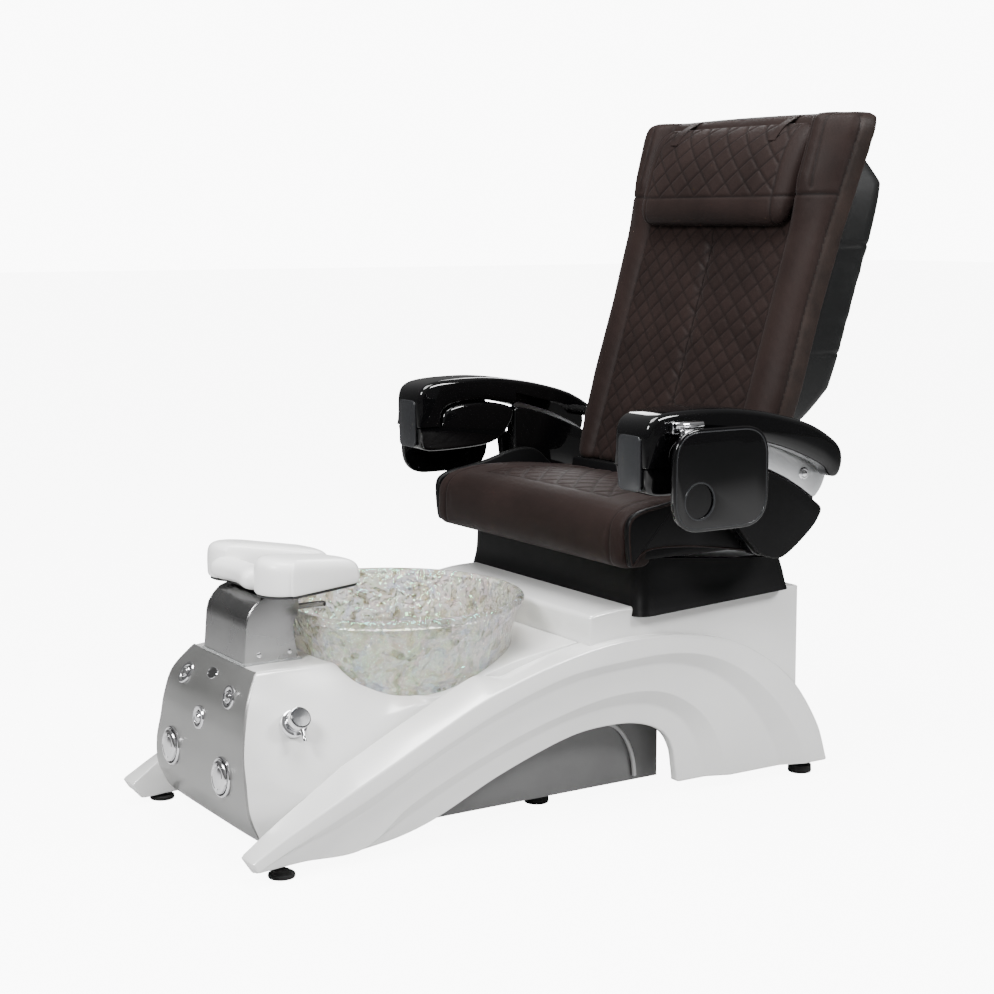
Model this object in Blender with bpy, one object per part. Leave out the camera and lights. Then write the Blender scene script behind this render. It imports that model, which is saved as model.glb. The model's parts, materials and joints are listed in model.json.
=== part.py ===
"""Pedicure spa chair: moulded base with a glass foot bowl, and a reclining massage seat.

Metres, +Z up. The client faces -Y, where the foot bowl and the control panel are;
+X is the client's left. The origin is on the floor under the middle of the chair.
"""
import math

import bmesh
import bpy
from mathutils import Matrix, Vector
from mathutils.geometry import interpolate_bezier

# ---- driving dimensions -------------------------------------------------------
GAP = 0.0003                 # clearance between faces that touch
INNER_X = 0.250              # half-width between the two side arches
ARCH_X = 0.312               # outer face of the side arches
TUB_TOP = 0.338              # top of the nose that carries the column
PEDESTAL_X = 0.289
PEDESTAL_TOP = 0.403
PEDESTAL_REAR = 0.5075
TUB_REAR = -0.0135
PEDESTAL_FRONT = -0.012
BOWL_Y = -0.295
BOWL_RIM = 0.422
BOWL_WALL = 0.010
COLUMN_X = 0.087
SEAT_X = 0.338
SEAT_FRONT = 0.0215
RECLINE_AXIS = (0.0, 0.400, 0.600)
PAD_TOE = (.103, -.563)         # middle of a foot pad's front end
PAD_HEEL = (.060, -.436)        # middle of its rear end
PAD_HALF = .052                 # half the pad's width
PAD_DROP = -.136                # slope of the pad's top, front to rear
SWEEP_RADIUS = .0720            # room the arm's end needs to swing round its bolt
LEVER_RADIUS = .024             # the lever's eye round the bolt
CUP_RADIUS = .033               # the tray's round cup recess
RECLINE_SLOPE = 0.305        # the back leans this far rearward for each metre up
SHELL_DEPTH = 0.114          # of the back's rear shell, behind the padded front
ARM_PIVOT = (0.405, 0.653)   # y and z of the arm rests' pivot bolts
ARM_INNER, ARM_OUTER = 0.356, 0.457
TRAY_HINGE = (0.4745, 0.772)   # x and z of the side trays' hinge pins
SIDES = (("left", 1.0), ("right", -1.0))

WHITE = ("white_gelcoat", (0.83, 0.83, 0.82), 0.18, 0.0)
SILVER = ("silver_panel", (0.56, 0.56, 0.55), 0.30, 0.6)
STEEL = ("brushed_steel", (0.45, 0.45, 0.45), 0.28, 1.0)
CHROME = ("chrome", (0.80, 0.80, 0.82), 0.06, 1.0)
GLASS = ("crystal_glass", (0.86, 0.88, 0.84), 0.05, 0.0)
GREY = ("grey_liner", (0.20, 0.20, 0.20), 0.45, 0.0)
GLOSS = ("gloss_black", (0.010, 0.010, 0.011), 0.06, 0.0)
BLACK = ("matt_black", (0.020, 0.020, 0.021), 0.45, 0.0)
LEATHER = ("brown_leather", (0.040, 0.022, 0.018), 0.42, 0.0)
PAD = ("white_pad", (0.86, 0.86, 0.85), 0.30, 0.0)
RUBBER = ("black_rubber", (0.015, 0.015, 0.015), 0.70, 0.0)
ZINC = ("zinc_steel", (0.50, 0.51, 0.52), 0.35, 0.9)


# ---- helpers ------------------------------------------------------------------
def material(finish):
    """The Principled material of a finish, made once."""
    name, colour, roughness, metallic = finish
    found = bpy.data.materials.get(name)
    if found:
        return found
    made = bpy.data.materials.new(name)
    made.use_nodes = True
    shader = made.node_tree.nodes["Principled BSDF"]
    shader.inputs["Base Color"].default_value = (*colour, 1.0)
    shader.inputs["Roughness"].default_value = roughness
    shader.inputs["Metallic"].default_value = metallic
    return made


def add(name, bm, finish, smooth=False, place=(0, 0, 0), parent=None):
    """Turn a bmesh into a named object with its material."""
    bmesh.ops.recalc_face_normals(bm, faces=bm.faces)
    mesh = bpy.data.meshes.new(name)
    bm.to_mesh(mesh)
    bm.free()
    mesh.materials.append(material(finish))
    if smooth:
        mesh.shade_smooth()
        mesh.set_sharp_from_angle(angle=math.radians(35))
    thing = bpy.data.objects.new(name, mesh)
    thing.location = place
    thing.parent = parent
    bpy.context.scene.collection.objects.link(thing)
    return thing


def pivot(name, place, parent=None):
    """An empty on a joint's axis, for moving pieces to hang from."""
    empty = bpy.data.objects.new(name, None)
    empty.location = place
    empty.parent = parent
    bpy.context.scene.collection.objects.link(empty)
    return empty


def world(thing, parent):
    """Hang a piece modelled in world metres on a pivot, without moving it."""
    offset, above = Vector((0, 0, 0)), parent
    while above:
        offset += above.location
        above = above.parent
    thing.data.transform(Matrix.Translation(-offset))
    thing.parent = parent
    return thing


def loft(rings, cap=True):
    """A closed body through rings that hold the same number of points."""
    bm = bmesh.new()
    rows = [[bm.verts.new(point) for point in ring] for ring in rings]
    count = len(rows[0])
    for lower, upper in zip(rows, rows[1:]):
        for i in range(count):
            j = (i + 1) % count
            bm.faces.new((lower[i], lower[j], upper[j], upper[i]))
    if cap:
        bm.faces.new(rows[0])
        bm.faces.new(rows[-1])
    return bm


def prism(outline, low, high, axis="x"):
    """An outline of pairs carried straight along one axis."""
    def place(a, b, t):
        return {"x": (t, a, b), "y": (a, t, b), "z": (a, b, t)}[axis]
    return loft([[place(a, b, t) for a, b in outline] for t in (low, high)])


def box(low, high):
    """A box between two corners."""
    bm = bmesh.new()
    bmesh.ops.create_cube(bm, size=1.0)
    size = Vector(high) - Vector(low)
    middle = (Vector(high) + Vector(low)) / 2
    bmesh.ops.scale(bm, vec=size, verts=bm.verts)
    bmesh.ops.translate(bm, vec=middle, verts=bm.verts)
    return bm


def rod(start, end, radius, end_radius=None, sides=20):
    """A round rod, or a cone where the two radii differ."""
    bm = bmesh.new()
    run = Vector(end) - Vector(start)
    bmesh.ops.create_cone(bm, cap_ends=True, segments=sides, radius1=radius,
                          radius2=radius if end_radius is None else end_radius, depth=run.length)
    turn = Vector((0, 0, 1)).rotation_difference(run).to_matrix().to_4x4()
    middle = (Vector(start) + Vector(end)) / 2
    bmesh.ops.transform(bm, matrix=Matrix.Translation(middle) @ turn, verts=bm.verts)
    return bm


def turned(profile, start, direction, sides=28):
    """A profile of (radius, height) pairs turned about a line from start along direction."""
    rings = []
    turn = Vector((0, 0, 1)).rotation_difference(Vector(direction)).to_matrix()
    for radius, height in profile:
        ring = []
        for i in range(sides):
            angle = 2 * math.pi * i / sides
            spoke = Vector((radius * math.cos(angle), radius * math.sin(angle), height))
            ring.append(Vector(start) + turn @ spoke)
        rings.append(ring)
    return loft(rings)


def bevel(thing, width, segments=2, angle=40):
    """Round a piece's sharp edges."""
    step = thing.modifiers.new("bevel", "BEVEL")
    step.width = width
    step.segments = segments
    step.limit_method = "ANGLE"
    step.angle_limit = math.radians(angle)
    step.harden_normals = False
    return thing


def cut(thing, bm, name):
    """Take a shape away from a piece, with a hidden cutter."""
    tool = add(name, bm, BLACK)
    tool.hide_render = True
    tool.display_type = "WIRE"
    step = thing.modifiers.new(name, "BOOLEAN")
    step.operation = "DIFFERENCE"
    step.object = tool
    return tool


def join(thing, bm, name):
    """Weld a second shape on to a piece, with a hidden helper."""
    tool = cut(thing, bm, name)
    thing.modifiers[name].operation = "UNION"
    return tool


def spline(points, count):
    """Count points on a smooth curve through the given points."""
    dims = len(points[0])
    knots = [Vector(tuple(p) + (0.0,) * (3 - dims)) for p in points]
    spans = len(knots) - 1
    per_span = 12
    fine = []
    for i in range(spans):
        before = knots[max(i - 1, 0)]
        after = knots[min(i + 2, spans)]
        a, b = knots[i], knots[i + 1]
        run = interpolate_bezier(a, a + (b - before) / 6, b - (after - a) / 6, b, per_span)
        fine.extend(run if i == 0 else run[1:])
    last = len(fine) - 1
    picked = []
    for k in range(count):
        at = last * k / (count - 1)
        i = min(int(at), last - 1)
        picked.append(tuple(fine[i].lerp(fine[i + 1], at - i))[:dims])
    return picked


def rounded(width, height, radius, corner=5):
    """A rounded rectangle about the origin, as pairs running counter-clockwise."""
    points = []
    for quarter, (sx, sy) in enumerate(((1, 1), (-1, 1), (-1, -1), (1, -1))):
        cx, cy = sx * (width / 2 - radius), sy * (height / 2 - radius)
        for i in range(corner + 1):
            angle = math.pi / 2 * (quarter + i / corner)
            points.append((cx + radius * math.cos(angle), cy + radius * math.sin(angle)))
    return points


# ---- base: side arches, tub, pedestal ------------------------------------------
STATIONS = 30
RIDGE = ((-.725, .044), (-.650, .085), (-.522, .147), (-.391, .211), (-.242, .278), (-.080, .325),
         (.060, .345), (.200, .338), (.340, .305), (.467, .224), (.545, .120), (.578, .030))
GROOVE = ((-.714, .026), (-.645, .060), (-.510, .120), (-.380, .181), (-.235, .243), (-.080, .290),
          (.060, .304), (.190, .304), (.300, .275), (.400, .210), (.480, .120), (.526, .030))
STEP = ((-.708, .018), (-.620, .024), (-.500, .028), (-.400, .096), (-.215, .172), (-.060, .216),
        (.060, .234), (.160, .226), (.235, .190), (.285, .140), (.315, .080), (.332, .030))
EDGE = ((-.704, .012), (-.618, .016), (-.498, .018), (-.361, .044), (-.200, .111), (-.045, .160),
        (.060, .169), (.130, .160), (.180, .136), (.204, .100), (.212, .060), (.216, .030))


def ridge_points():
    """The arch's top line, as the same points that the arch and the pedestal both use."""
    return spline(RIDGE, STATIONS)


def height_at(points, y):
    """The height of a line of y, z points at one y."""
    for (y0, z0), (y1, z1) in zip(points, points[1:]):
        if y <= y1:
            return z0 + (z1 - z0) * (y - y0) / (y1 - y0)
    return points[-1][1]


def arch(side, sign):
    """One side arch: a stepped moulding from the front ski tip over to the rear foot."""
    lines = [spline(line, STATIONS) for line in (RIDGE, GROOVE, STEP, EDGE)]
    rings = []
    for ridge, groove, step, edge in zip(*lines):
        rise = 0.030 * min(max((ridge[0] + .725) / .20, 0), 1) * min(max((-.190 - ridge[0]) / .06, 0), 1)
        face = ARCH_X - 0.010 * min(max(-ridge[0] - .45, 0) / .25, 1)
        inner = INNER_X + GAP
        steps = ((inner, *_lift(ridge, rise)), (face, *ridge), (face, *groove), (face - .008, *groove),
                 (face - .008, *step), (face - .030, *_lift(step, -.004)), (face - .030, *edge),
                 (inner, *edge))
        rings.append([(sign * x, y, z) for x, y, z in steps])
    return bevel(add(f"arch_{side}", loft(rings), WHITE, smooth=True), 0.0025, 1, 55)


def _lift(point, by):
    """A y, z pair raised by a height."""
    return point[0], point[1] + by


def nose_half(y):
    """Half-width of the tub's top edge and its height, for a station along y."""
    tops = ((-.60, .146, .338), (-.47, .152, .337), (-.435, .160, .330), (-.404, .176, .306),
            (-.370, .206, .281), (-.330, .2490, .2745), (-.217, .2490, .3030), (-.150, .2490, .3200),
            (-.080, .2490, .3310), (TUB_REAR, .2490, .3380))
    for (y0, x0, z0), (y1, x1, z1) in zip(tops, tops[1:]):
        if y <= y1:
            t = (y - y0) / (y1 - y0)
            return x0 + (x1 - x0) * t, z0 + (z1 - z0) * t
    return tops[-1][1:]


def tub_body():
    """The nose and deck that the bowl sits in, lofted from the front panel's edge rearward."""
    levels = ((.138, -.637, .337), (.167, -.668, .290), (.180, -.681, .240), (.1885, -.686, .195),
              (.2016, -.690, .145), (.206, -.686, .095), (.205, -.664, .045))
    front = [Vector(p) for p in levels]
    sides = [front]
    for y in (-.60, -.47, -.435, -.404, -.370, -.330, -.217, -.150, -.080, TUB_REAR):
        top_x, top_z = nose_half(y)
        crease = min(.135 + (y + .60) * .55, top_z - .012)
        crease = max(crease, .120)
        wall = [Vector((top_x, y, top_z)).lerp(Vector((INNER_X - GAP, y, crease)), t)
                for t in (0, .3, .6, 1.0)]
        down = [Vector((INNER_X - GAP, y, z)) for z in (crease * .7 + .03, crease * .35 + .04, .045)]
        sides.append(wall + down)
    rings = [side + [Vector((-p.x, p.y, p.z)) for p in reversed(side)] for side in sides]
    body = add("tub_body", loft(rings), WHITE, smooth=True)
    cut(body, bowl_shape(0.0020, BOWL_RIM + .02), "bowl_recess")
    cut(body, prism(((-.590, .0), (-.590, .150), (-.40, .150), (-.34, .1655), (.02, .1655), (.02, .0)),
                    -.212, .212), "liner_space")
    cut(body, prism(((-.46, .0), (-.36, .045), (-.20, .112), (-.045, .165), (.02, .170), (.02, .0)),
                    -.30, .30), "arch_clearance")
    return body


def bowl_ring(y_scale, x_half, front, z, count=36):
    """One level of the bowl: an ellipse whose front end is cut flat behind the column."""
    ring = []
    for i in range(count):
        angle = 2 * math.pi * (i + .5) / count
        y = BOWL_Y + y_scale * math.sin(angle)
        ring.append((x_half * math.cos(angle), max(y, front), z))
    return ring


def bowl_front(z):
    """The y of the bowl's flat front wall at a height; it leans forward to the rim."""
    return BOWL_Y - .150 - .072 * (z - .170) / .252


def bowl_levels(grow=0.0, top=BOWL_RIM):
    """Levels of the bowl's outer wall, from its foot to its rim: z, half-width and half-length."""
    levels = ((.170, .150, .150), (.178, .175, .172), (.230, .212, .212), (.300, .240, .236),
              (.380, .258, .254), (BOWL_RIM, .268, .262))
    if top > BOWL_RIM:
        levels += ((top, .268, .262),)
    return [(z, x + grow, y + grow) for z, x, y in levels]


def bowl_shape(grow, top):
    """The solid that the bowl's outside fills, a little grown where it is used as a cutter."""
    rings = []
    for i, (z, x_half, y_half) in enumerate(bowl_levels(grow, top)):
        front = bowl_front(z) - grow
        low = z - grow if i == 0 else z
        rings.append(bowl_ring(y_half, x_half, front, low))
    return loft(rings)


def glass_bowl():
    """The crystal glass foot bowl with its thick rim."""
    bowl = add("glass_bowl", bowl_shape(0.0, BOWL_RIM), GLASS, smooth=True)
    rings = []
    for i, (z, x_half, y_half) in enumerate(bowl_levels(-BOWL_WALL, BOWL_RIM + .004)):
        front = bowl_front(z) + BOWL_WALL
        rings.append(bowl_ring(y_half, x_half, front, z + (BOWL_WALL if i == 0 else .004)))
    cut(bowl, loft(rings), "bowl_hollow")
    cut(bowl, rod((0, BOWL_Y, .16), (0, BOWL_Y, .19), .0253, sides=20), "drain_hole")
    return bowl


def drain_and_jet():
    """The strainer in the bowl's foot and the round jet cover beside it."""
    add("drain_strainer", turned(((.025, 0), (.025, .011), (.034, .0112), (.034, .014), (.008, .016)),
                                 (0, BOWL_Y, .1695), (0, 0, 1), 20), CHROME, smooth=True)
    base = (0, BOWL_Y - .100, .1806)
    add("jet_cover", turned(((.036, 0), (.036, .010), (.030, .016), (.010, .018)), base, (0, 0, 1), 20),
        WHITE, smooth=True)


def liner():
    """The dark inner shell under the tub, open below, with the water jet motor in its front part."""
    outline = ((-.585, .028), (-.585, .146), (-.402, .146), (-.344, .163), (.215, .163), (.215, .028))
    shell = add("base_liner", prism(outline, -.2055, .2055), GREY)
    inner = ((-.577, .0), (-.577, .139), (-.406, .139), (-.345, .1550), (.207, .1550), (.207, .0))
    cut(shell, prism(inner, -.1975, .1975), "liner_hollow")
    add("jet_motor", rod((0, -.395, .060), (0, -.395, .1350), .045, sides=20), BLACK, smooth=True)


def pedestal():
    """The raised box behind the bowl; its lower edge follows the arches' top line."""
    ridge = ridge_points()
    under = [p for p in ridge if PEDESTAL_FRONT < p[0] < PEDESTAL_REAR]
    ends = [(y, height_at(ridge, y)) for y in (PEDESTAL_FRONT, PEDESTAL_REAR)]
    outline = [(y, z + 3 * GAP) for y, z in [ends[0]] + under + [ends[1]]]
    outline += [(PEDESTAL_REAR, PEDESTAL_TOP), (.040, PEDESTAL_TOP), (PEDESTAL_FRONT, PEDESTAL_TOP - .008)]
    body = add("pedestal", prism(outline, -PEDESTAL_X, PEDESTAL_X), WHITE)
    cut(body, box((-.26, .010, .15), (.26, .49, PEDESTAL_TOP - .010)), "pedestal_hollow")
    add("rear_panel", box((-INNER_X + GAP, .4770, .045), (INNER_X - GAP, .4890, .300)), WHITE)
    return body


# ---- base: front panel, controls, faucet, column, feet --------------------------
PANEL = ((.138, -.641, .337), (.167, -.672, .290), (.180, -.685, .240), (.1885, -.690, .195),
         (.2016, -.694, .145), (.206, -.690, .095), (.205, -.668, .045))
BUTTONS = ((-.097, .294), (.102, .289), (-.004, .230))
DIALS = ((-.120, .150), (.110, .146))


def panel_at(z):
    """The front panel's y and outward direction at a height."""
    for (_, y0, z0), (_, y1, z1) in zip(PANEL, PANEL[1:]):
        if z >= z1:
            y = y0 + (y1 - y0) * (z0 - z) / (z0 - z1)
            run = Vector((0, y1 - y0, z1 - z0)).normalized()
            return y, Vector((0, run.z, -run.y))
    return PANEL[-1][1], Vector((0, -1, 0))


def front_panel():
    """The bowed silver plate that closes the nose and carries the controls."""
    rings = []
    for half, y, z in PANEL:
        rings.append([(-half, y, z), (half, y, z), (half, y + .004 - GAP, z), (-half, y + .004 - GAP, z)])
    panel = add("front_panel", loft(rings), SILVER, smooth=True)
    for i, (x, z) in enumerate(BUTTONS, 1):
        y, out = panel_at(z)
        at = Vector((x, y, z))
        cut(panel, rod(at - out * .020, at + out * .020, .0160), f"button_hole_{i}")
        cut(bpy.data.objects["tub_body"], rod(at - out * .0300, at + out * .020, .0200), f"button_well_{i}")
        rim = ((.0215, -.0030), (.0215, .0020), (.0205, .0050), (.0128, .0050), (.0128, -.0030))
        join(panel, ring_mesh(rim, at, out, 24), f"button_rim_{i}")
        cap = ((.0085, -.012), (.0120, -.006), (.0120, .0030), (.0095, .0050))
        add(f"button_cap_{i}", turned(cap, at, out, 20), CHROME, smooth=True)
    for (x, z), name in zip(DIALS, ("water", "air")):
        y, out = panel_at(z)
        at = Vector((x, y, z))
        rim = ((.0340, -.0025), (.0340, .0055), (.0315, .0055), (.0315, -.0025))
        join(panel, ring_mesh(rim, at, out, 28), f"{name}_dial_rim")
        dial = ((.0300, .0016), (.0305, .0090), (.0270, .0125), (.0140, .0150))
        add(f"{name}_dial", turned(dial, at, out, 28), CHROME, smooth=True)
    y, out = panel_at(.311)
    badge = turned(((.018, .0010), (.018, .0026), (.0165, .0032)), (0, 0, 0), (0, 0, 1), 24)
    bmesh.ops.scale(badge, vec=(1.0, .62, 1.0), verts=badge.verts)
    face = Vector((0, 0, 1)).rotation_difference(out).to_matrix().to_4x4()
    bmesh.ops.transform(badge, matrix=Matrix.Translation((0, y, .311)) @ face, verts=badge.verts)
    add("badge_plate", badge, GLOSS, smooth=True)


def ring_mesh(profile, start, direction, sides):
    """A ring turned from a closed profile of (radius, height) pairs."""
    turn = Vector((0, 0, 1)).rotation_difference(Vector(direction)).to_matrix()
    bm = bmesh.new()
    rows = []
    for i in range(sides):
        angle = 2 * math.pi * i / sides
        row = [Vector((r * math.cos(angle), r * math.sin(angle), h)) for r, h in profile]
        rows.append([bm.verts.new(Vector(start) + turn @ point) for point in row])
    for a, b in zip(rows, rows[1:] + rows[:1]):
        for j in range(len(profile)):
            k = (j + 1) % len(profile)
            bm.faces.new((a[j], a[k], b[k], b[j]))
    bmesh.ops.recalc_face_normals(bm, faces=bm.faces)
    return bm


def faucet():
    """The mixer on the tub's near wall: wall plate, turning knob with a small lever."""
    out = Vector((.84, 0, .54)).normalized()
    at = Vector((.2010, -.592, .252))
    plate = turned(((.025, .0012), (.025, .0050), (.020, .0080)), at, out, 24)
    add("faucet_plate", plate, CHROME, smooth=True)
    knob = turned(((.0165, .0086), (.0185, .012), (.0195, .034), (.0165, .037)), at, out, 24)
    handle = add("faucet_knob", knob, CHROME, smooth=True)
    side = Vector((0, -.25, -.97))
    side = (side - out * side.dot(out)).normalized()
    lever = rod(at + out * .018 + side * .010, at + out * .030 + side * .046, .0042, .0034, 12)
    join(handle, lever, "knob_lever")
    return at, out


def column():
    """The stainless column at the nose: folded cover, two side plates, screws and the rearward arm."""
    profile = ((-.637, .3386), (-.631, .412), (-.626, .428), (-.616, .443), (-.602, .456),
               (-.585, .462), (-.530, .462), (-.530, .4605), (-.585, .4605), (-.601, .4545),
               (-.6145, .4420), (-.6245, .4275),
               (-.6295, .4118), (-.6355, .3386))
    half = COLUMN_X - .0025
    add("column_cover", prism(profile, -half, half), STEEL, smooth=True)
    plate = ((-.637, .3386), (-.631, .412), (-.626, .428), (-.616, .443), (-.602, .456), (-.585, .462),
             (-.5235, .462), (-.5235, .430), (-.538, .400), (-.527, .3386))
    for side, sign in SIDES:
        low, high = sorted((sign * (half + GAP), sign * (COLUMN_X - GAP)))
        sheet = add(f"column_plate_{side}", prism(plate, low, high), STEEL)
        for i, y in enumerate((-.607, -.545), 1):
            at = (sign * (COLUMN_X - .0015), y, .3555)
            head = ((.0042, 0), (.0042, .0027), (.0026, .0039))
            join(sheet, turned(head, at, (sign, 0, 0), 12), f"plate_screw_{side}_{i}")
    for side, sign in SIDES:
        rail = ((-.600, .430), (-.466, .430), (-.466, .439), (-.600, .439))
        low, high = sorted((sign * .0700, sign * .0830))
        add(f"footrest_rail_{side}", prism(rail, low, high), STEEL)


def feet():
    """Six levelling feet: a rubber foot under each ski tip, mid-length and rear corner."""
    places = (("front", .270, -.655, .0135), ("middle", .150, -.040, .0277), ("rear", .270, .540, .0290))
    for spot, x, y, top in places:
        for side, sign in SIDES:
            profile = ((.0215, 0), (.0245, .003), (.0245, .010), (.0150, .0125), (.0150, top))
            add(f"{spot}_foot_{side}", turned(profile, (sign * x, y, 0), (0, 0, 1), 20), RUBBER, smooth=True)


def pad_lobe(sign):
    """A foot pad's outline seen from above: it splays outward from the heel to the toe."""
    points = []
    for (x, y), radius, start in ((PAD_TOE, PAD_HALF, -.5), (PAD_HEEL, PAD_HALF * .92, .5)):
        ahead = math.atan2(PAD_TOE[1] - PAD_HEEL[1], PAD_TOE[0] - PAD_HEEL[0])
        for i in range(8):
            angle = ahead + math.pi * (start + i / 7)
            points.append((sign * (x + radius * math.cos(angle)), y + radius * math.sin(angle)))
    return points


def foot_pads(carriage):
    """The two moulded heel pads, the saddle between them and the plate that carries them."""
    for side, sign in SIDES:
        outline = pad_lobe(sign)
        centre = (sign * (PAD_TOE[0] + PAD_HEEL[0]) / 2, (PAD_TOE[1] + PAD_HEEL[1]) / 2)
        rings = []
        for z, grow in ((.4690, .90), (.4720, .985), (.490, 1.0), (.510, .98), (.522, .86), (.527, .55)):
            ring = []
            for x, y in outline:
                rx, ry = centre[0] + (x - centre[0]) * grow, centre[1] + (y - centre[1]) * grow
                slope = PAD_DROP * (ry - centre[1]) if z > .48 else 0.0
                ring.append((rx, ry, z + slope))
            rings.append(ring)
        world(add(f"foot_pad_{side}", loft(rings), PAD, smooth=True), carriage)
    rings = []
    for y, half, low, high in ((-.668, .016, .485, .500), (-.650, .028, .476, .510),
                               (-.600, .032, .470, .520),
                               (-.560, .028, .470, .522), (-.520, .020, .474, .516)):
        rings.append([(half * math.cos(a), y, (low + high) / 2 + (high - low) / 2 * math.sin(a))
                      for a in [2 * math.pi * i / 16 for i in range(16)]])
    world(add("foot_saddle", loft(rings), PAD, smooth=True), carriage)
    plate = rounded(.300, .170, .030, 4)
    world(add("footrest_plate", prism([(x, y - .530) for x, y in plate], .4632, .4680, "z"), BLACK), carriage)


# ---- seat -----------------------------------------------------------------------
def skirt():
    """The black cover on the pedestal: flared at its lower edge, which dips at the front corners."""
    rings = []
    for z_front, z_rear, x, front, rear in ((.385, .4045, .318, .0855, .462), (.430, .440, .308, .092, .458),
                                            (.500, .466, .303, .094, .452)):
        ring = [(-x, front, z_front), (x, front, z_front), (x, (front + rear) / 2, (z_front + z_rear) / 2),
                (x, rear, z_rear), (-x, rear, z_rear), (-x, (front + rear) / 2, (z_front + z_rear) / 2)]
        rings.append(ring)
    body = add("skirt", loft(rings), BLACK)
    cut(body, box((-PEDESTAL_X - .0015, .050, .35), (PEDESTAL_X + .0015, .480, PEDESTAL_TOP + .0015)),
        "pedestal_clearance")
    cut(body, box((-.280, .112, .36), (.280, .436, .60)), "skirt_hollow")
    cut(body, box((-.272, .400, .4390), (.272, .480, .60)), "rear_notch")
    return body


def slide_rails():
    """The two fixed rails on the pedestal that the seat frame runs along."""
    for side, sign in SIDES:
        low, high = sorted((sign * .170, sign * .210))
        add(f"seat_rail_{side}", box((low, .130, PEDESTAL_TOP + GAP), (high, .430, .4400)), ZINC)


def seat_frame(carriage):
    """The seat's welded frame, its cushion pan, the side covers and the recline drive.

    The frame stops well behind the skirt's front wall, which leaves room for the forward travel.
    """
    frame = add("seat_frame", box((-.2650, .2150, .4704), (.2650, .425, .5150)), ZINC)
    for side, sign in SIDES:
        low, high = sorted((sign * .170, sign * .210))
        join(frame, box((low, .230, .4404), (high, .400, .4800)), f"rail_shoe_{side}")
    cut(frame, box((-.1650, .245, .45), (.1650, .380, .53)), "frame_window")
    world(frame, carriage)
    world(add("seat_pan", box((-.320, .1040, .5154), (.320, .425, .5270)), BLACK), carriage)
    motor = rod((0, .250, .495), (0, .375, .495), .0190, sides=16)
    world(add("recline_motor", motor, BLACK, smooth=True), carriage)
    cover = ((.030, .575), (.036, .505), (.052, .496), (.070, .520), (.150, .522), (.296, .502), (.344, .492),
             (.390, .519), (.392, .560), (.300, .600), (.285, .640), (.225, .640), (.160, .622), (.060, .604))
    for side, sign in SIDES:
        low, high = sorted((sign * (SEAT_X + .0015), sign * (SEAT_X + .0165)))
        world(bevel(add(f"seat_side_{side}", prism(cover, low, high), BLACK), .003, 1), carriage)


def seat_cushion(carriage):
    """The seat's padded cushion: a front roll that hangs down, and a crowned top."""
    side = ((SEAT_FRONT + .030, .487), (SEAT_FRONT + .012, .492), (SEAT_FRONT, .520),
            (SEAT_FRONT + .001, .560), (SEAT_FRONT + .010, .588), (.060, .604), (.120, .614),
            (.220, .612), (.330, .600), (.405, .590),
            (.405, .5275), (.100, .5275), (.090, .487))
    rings = []
    for x, pull in ((-SEAT_X, .010), (-SEAT_X + .015, .0), (-.15, -.006), (.15, -.006), (SEAT_X - .015, .0),
                    (SEAT_X, .010)):
        ring = []
        for y, z in side:
            top = z > .53
            ring.append((x, y + (pull if y < .05 else 0), z - (pull if top else 0)))
        rings.append(ring)
    return world(add("seat_cushion", loft(rings), LEATHER, smooth=True), carriage)


def arm_bracket(side, sign, carriage):
    """The silver strip that carries the arm rest, its pivot bolt, and the round-backed cover below."""
    strip = ((.262, .7200), (.285, .7180), (.330, .7050), (.370, .6900), (.425, .6660), (.461, .6480),
             (.434, .602), (.400, .6250), (.360, .6480), (.315, .6680), (.262, .6760))
    low, high = sorted((sign * .4000, sign * .4120))
    plate = add(f"arm_bracket_{side}", prism(strip, low, high), STEEL)
    bolt = ((.0115, -.0030), (.0115, .0020), (.0105, .0050), (.0050, .0065))
    join(plate, turned(bolt, (sign * .412, *ARM_PIVOT), (sign, 0, 0), 16), f"arm_bolt_{side}")
    world(plate, carriage)
    cover = ((.225, .6700), (.312, .6660), (.357, .6460), (.397, .6225), (.431, .5985), (.440, .590),
             (.448, .580), (.437, .560), (.417, .540), (.394, .521), (.344, .491), (.300, .500), (.240, .560))
    low, high = sorted((sign * .3960, sign * .4190))
    panel = add(f"recline_cover_{side}", prism(cover, low, high), BLACK)
    low, high = sorted((sign * .3555, sign * .4000))
    stay = prism(((.245, .530), (.340, .507), (.340, .530), (.255, .555)), low, high)
    join(panel, stay, f"cover_stay_{side}")
    world(panel, carriage)


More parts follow.
